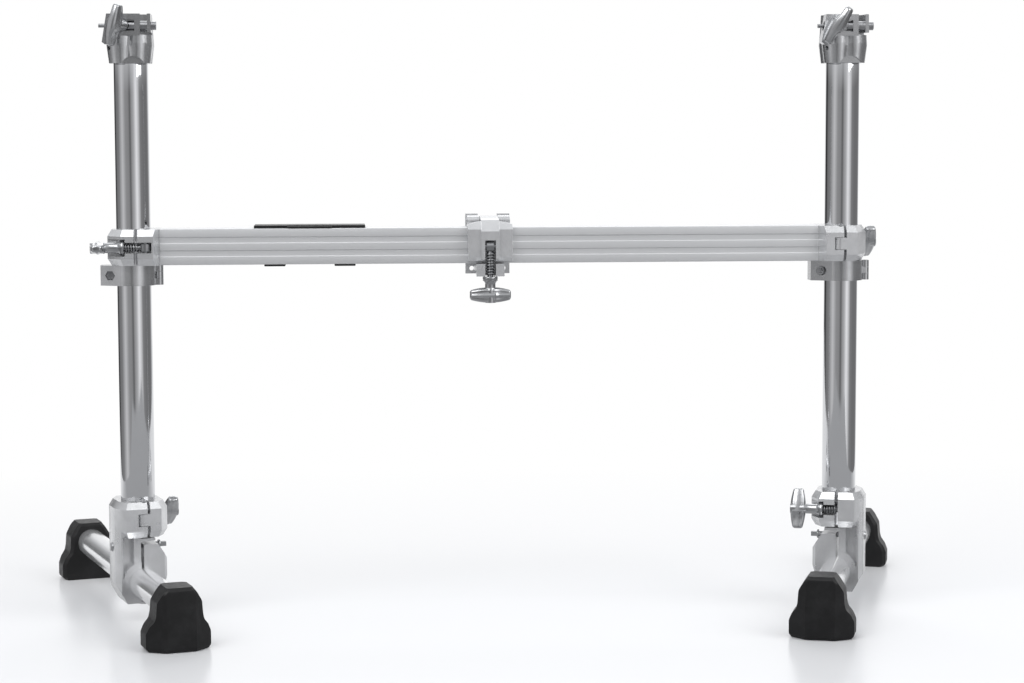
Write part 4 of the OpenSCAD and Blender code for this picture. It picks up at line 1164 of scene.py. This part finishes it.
@dataclass(frozen=True)
class Camera:
    """The photograph's camera, fitted to the posts, the bar and the feet.

    Attributes:
        focal: focal length in pixels of a 1024-pixel-wide picture.
        origin: place in millimetres.
        yaw: turn about Z, in radians.
        pitch: upward tilt, in radians.
        roll: turn about the line of sight, in radians.
    """

    focal: float = 2400.0
    origin: tuple[float, float, float] = (-179.9, -2752.5, 553.6)
    yaw: float = -0.0750
    pitch: float = -0.0894
    roll: float = -0.0026

    def build(self) -> None:
        """Turns the camera by yaw about Z, by pitch about its own X and by roll about its sight."""
        data = bpy.data.cameras.new("camera")
        data.sensor_width = SENSOR_WIDTH
        data.lens = self.focal / PICTURE_WIDTH * SENSOR_WIDTH
        data.clip_end = 60.0
        camera = add_object("camera", data)
        turn = (Matrix.Rotation(self.yaw, 4, "Z") @ Matrix.Rotation(math.pi / 2 + self.pitch, 4, "X")
                @ Matrix.Rotation(self.roll, 4, "Z"))
        camera.matrix_world = Matrix.Translation(Vector(self.origin) * MM) @ turn
        bpy.context.scene.camera = camera


# Tone of the room that gloss sees, by degrees from straight in front of the object.
ROOM_TONES: tuple[tuple[float, float], ...] = (
    (-180, 1.0), (-164, 0.8), (-152, 0.03), (-138, 0.03), (-122, 0.2), (-95, 0.26), (-64, 0.66),
    (-40, 0.34), (-20, 0.30), (-8, 0.14), (2, 0.36), (16, 0.52), (32, 1.0), (46, 0.7), (60, 0.26),
    (84, 0.2), (122, 0.2), (138, 0.45), (150, 1.0), (180, 1.0),
)

# Lamps: name, place and aim in metres, width in metres, and power in watts.
LAMPS = (
    ("key", (-1.9, -2.2, 2.9), (0.0, 0.0, 0.25), 2.4, 62.0),
    ("fill", (2.3, -1.6, 2.2), (0.0, 0.0, 0.3), 2.2, 40.0),
    ("back", (0.2, 2.4, 2.8), (0.0, 0.0, 0.3), 2.6, 34.0),
)


@dataclass
class Studio:
    """Floor, world and lamps."""

    def build(self) -> None:
        """Sets the plain tone curve and makes everything round the object."""
        bpy.context.scene.view_settings.view_transform = "Standard"
        self.world()
        self.floor()
        for lamp in LAMPS:
            self.lamp(*lamp)

    @staticmethod
    def lamp(name: str, place: Sequence[float], aim: Sequence[float], size: float, power: float) -> None:
        """A square area lamp that points at a spot."""
        data = bpy.data.lights.new(name, "AREA")
        data.size = size
        data.energy = power
        lamp = add_object(name, data)
        lamp.location = place
        lamp.rotation_euler = (Vector(aim) - Vector(place)).to_track_quat("-Z", "Y").to_euler()

    @staticmethod
    def room(n: Nodes) -> Socket:
        """The colour that gloss sees: a tone by azimuth, atan2(x, -y), lifted towards the ceiling."""
        way = n.add("SeparateXYZ", {"Vector": n.add("TexCoord").outputs["Generated"]}).outputs
        azimuth = n.maths("ARCTAN2", way["X"], n.maths("MULTIPLY", way["Y"], -1.0))
        ramp = n.add("ValToRGB", {"Fac": n.spread(azimuth, start=-math.pi, end=math.pi)})
        elements = ramp.color_ramp.elements
        for stop, (angle, tone) in zip((elements[0], elements[-1]), (ROOM_TONES[0], ROOM_TONES[-1])):
            stop.position, stop.color = (angle + 180) / 360, (tone, tone, tone, 1.0)
        for angle, tone in ROOM_TONES[1:-1]:
            elements.new((angle + 180) / 360).color = (tone, tone, tone * 1.015, 1.0)
        lift = n.spread(way["Z"], start=0.08, end=0.55)
        return n.tint(lift, ramp.outputs["Color"], (0.80, 0.81, 0.825))

    def world(self) -> None:
        """White to the camera, plain light to the object, and a room with two tall lights to gloss."""
        world = bpy.data.worlds.new("studio")
        world.use_nodes = True
        bpy.context.scene.world = world
        n = Nodes(world.node_tree)
        world.node_tree.nodes.clear()
        ray = n.add("LightPath").outputs
        plain = n.background((0.86, 0.875, 0.90), 0.62)
        indoors = n.mixed(ray["Is Glossy Ray"], plain, n.background(self.room(n)))
        seen = n.maths("MAXIMUM", ray["Is Camera Ray"], ray["Is Transmission Ray"])
        n.add("OutputWorld", {"Surface": n.mixed(seen, indoors, n.background(WHITE))})

    @staticmethod
    def floor_material() -> bpy.types.Material:
        """Pale and faintly glossy, white behind the object, and to gloss a glowing tone, dimmer in front:
        a painted reflection of the floor.
        """
        material, n, shader = blank_material("floor")
        n.fill(shader, {"Base Color": (0.88, 0.885, 0.90), "Roughness": 0.22, "Specular IOR Level": 0.35})
        back = n.add("SeparateXYZ", {"Vector": n.pattern()}).outputs["Y"]
        ray = n.add("LightPath").outputs
        share = n.maths("MULTIPLY", n.spread(back, start=0.05, end=1.1), ray["Is Camera Ray"])
        # Painted reflection: what gloss sees of the floor is this tone given off as light, dim in front
        # and pale behind.
        tone = n.tint(n.spread(back, start=-0.2, end=0.5), (0.42, 0.425, 0.435), (0.9, 0.905, 0.915))
        seen = n.mixed(share, shader.outputs[0], n.glow(WHITE))
        surface = n.mixed(ray["Is Glossy Ray"], seen, n.glow(tone))
        n.fill(material.node_tree.nodes["Material Output"], {"Surface": surface})
        return material

    def floor(self) -> None:
        side, near, far = 1.3, -2.1, 3.4
        mesh = bpy.data.meshes.new("floor")
        corners = [(-side, near, 0), (side, near, 0), (side, far, 0), (-side, far, 0)]
        mesh.from_pydata(corners, [], [(0, 1, 2, 3)])
        mesh.materials.append(self.floor_material())
        add_object("floor", mesh)


def main() -> None:
    """Builds the whole rack, then the studio."""
    logging.basicConfig(level=logging.INFO, format="%(message)s")
    shop = Workshop()
    Crossbar().build(shop)
    CentreClamp().build(shop)
    for side in Side:
        for kind in (Post, BarClamp, Collar, TopClamp, LegClamp, Leg):
            kind(side).build(shop)
    Studio().build()
    Camera().build()


if __name__ == "__main__":
    main()
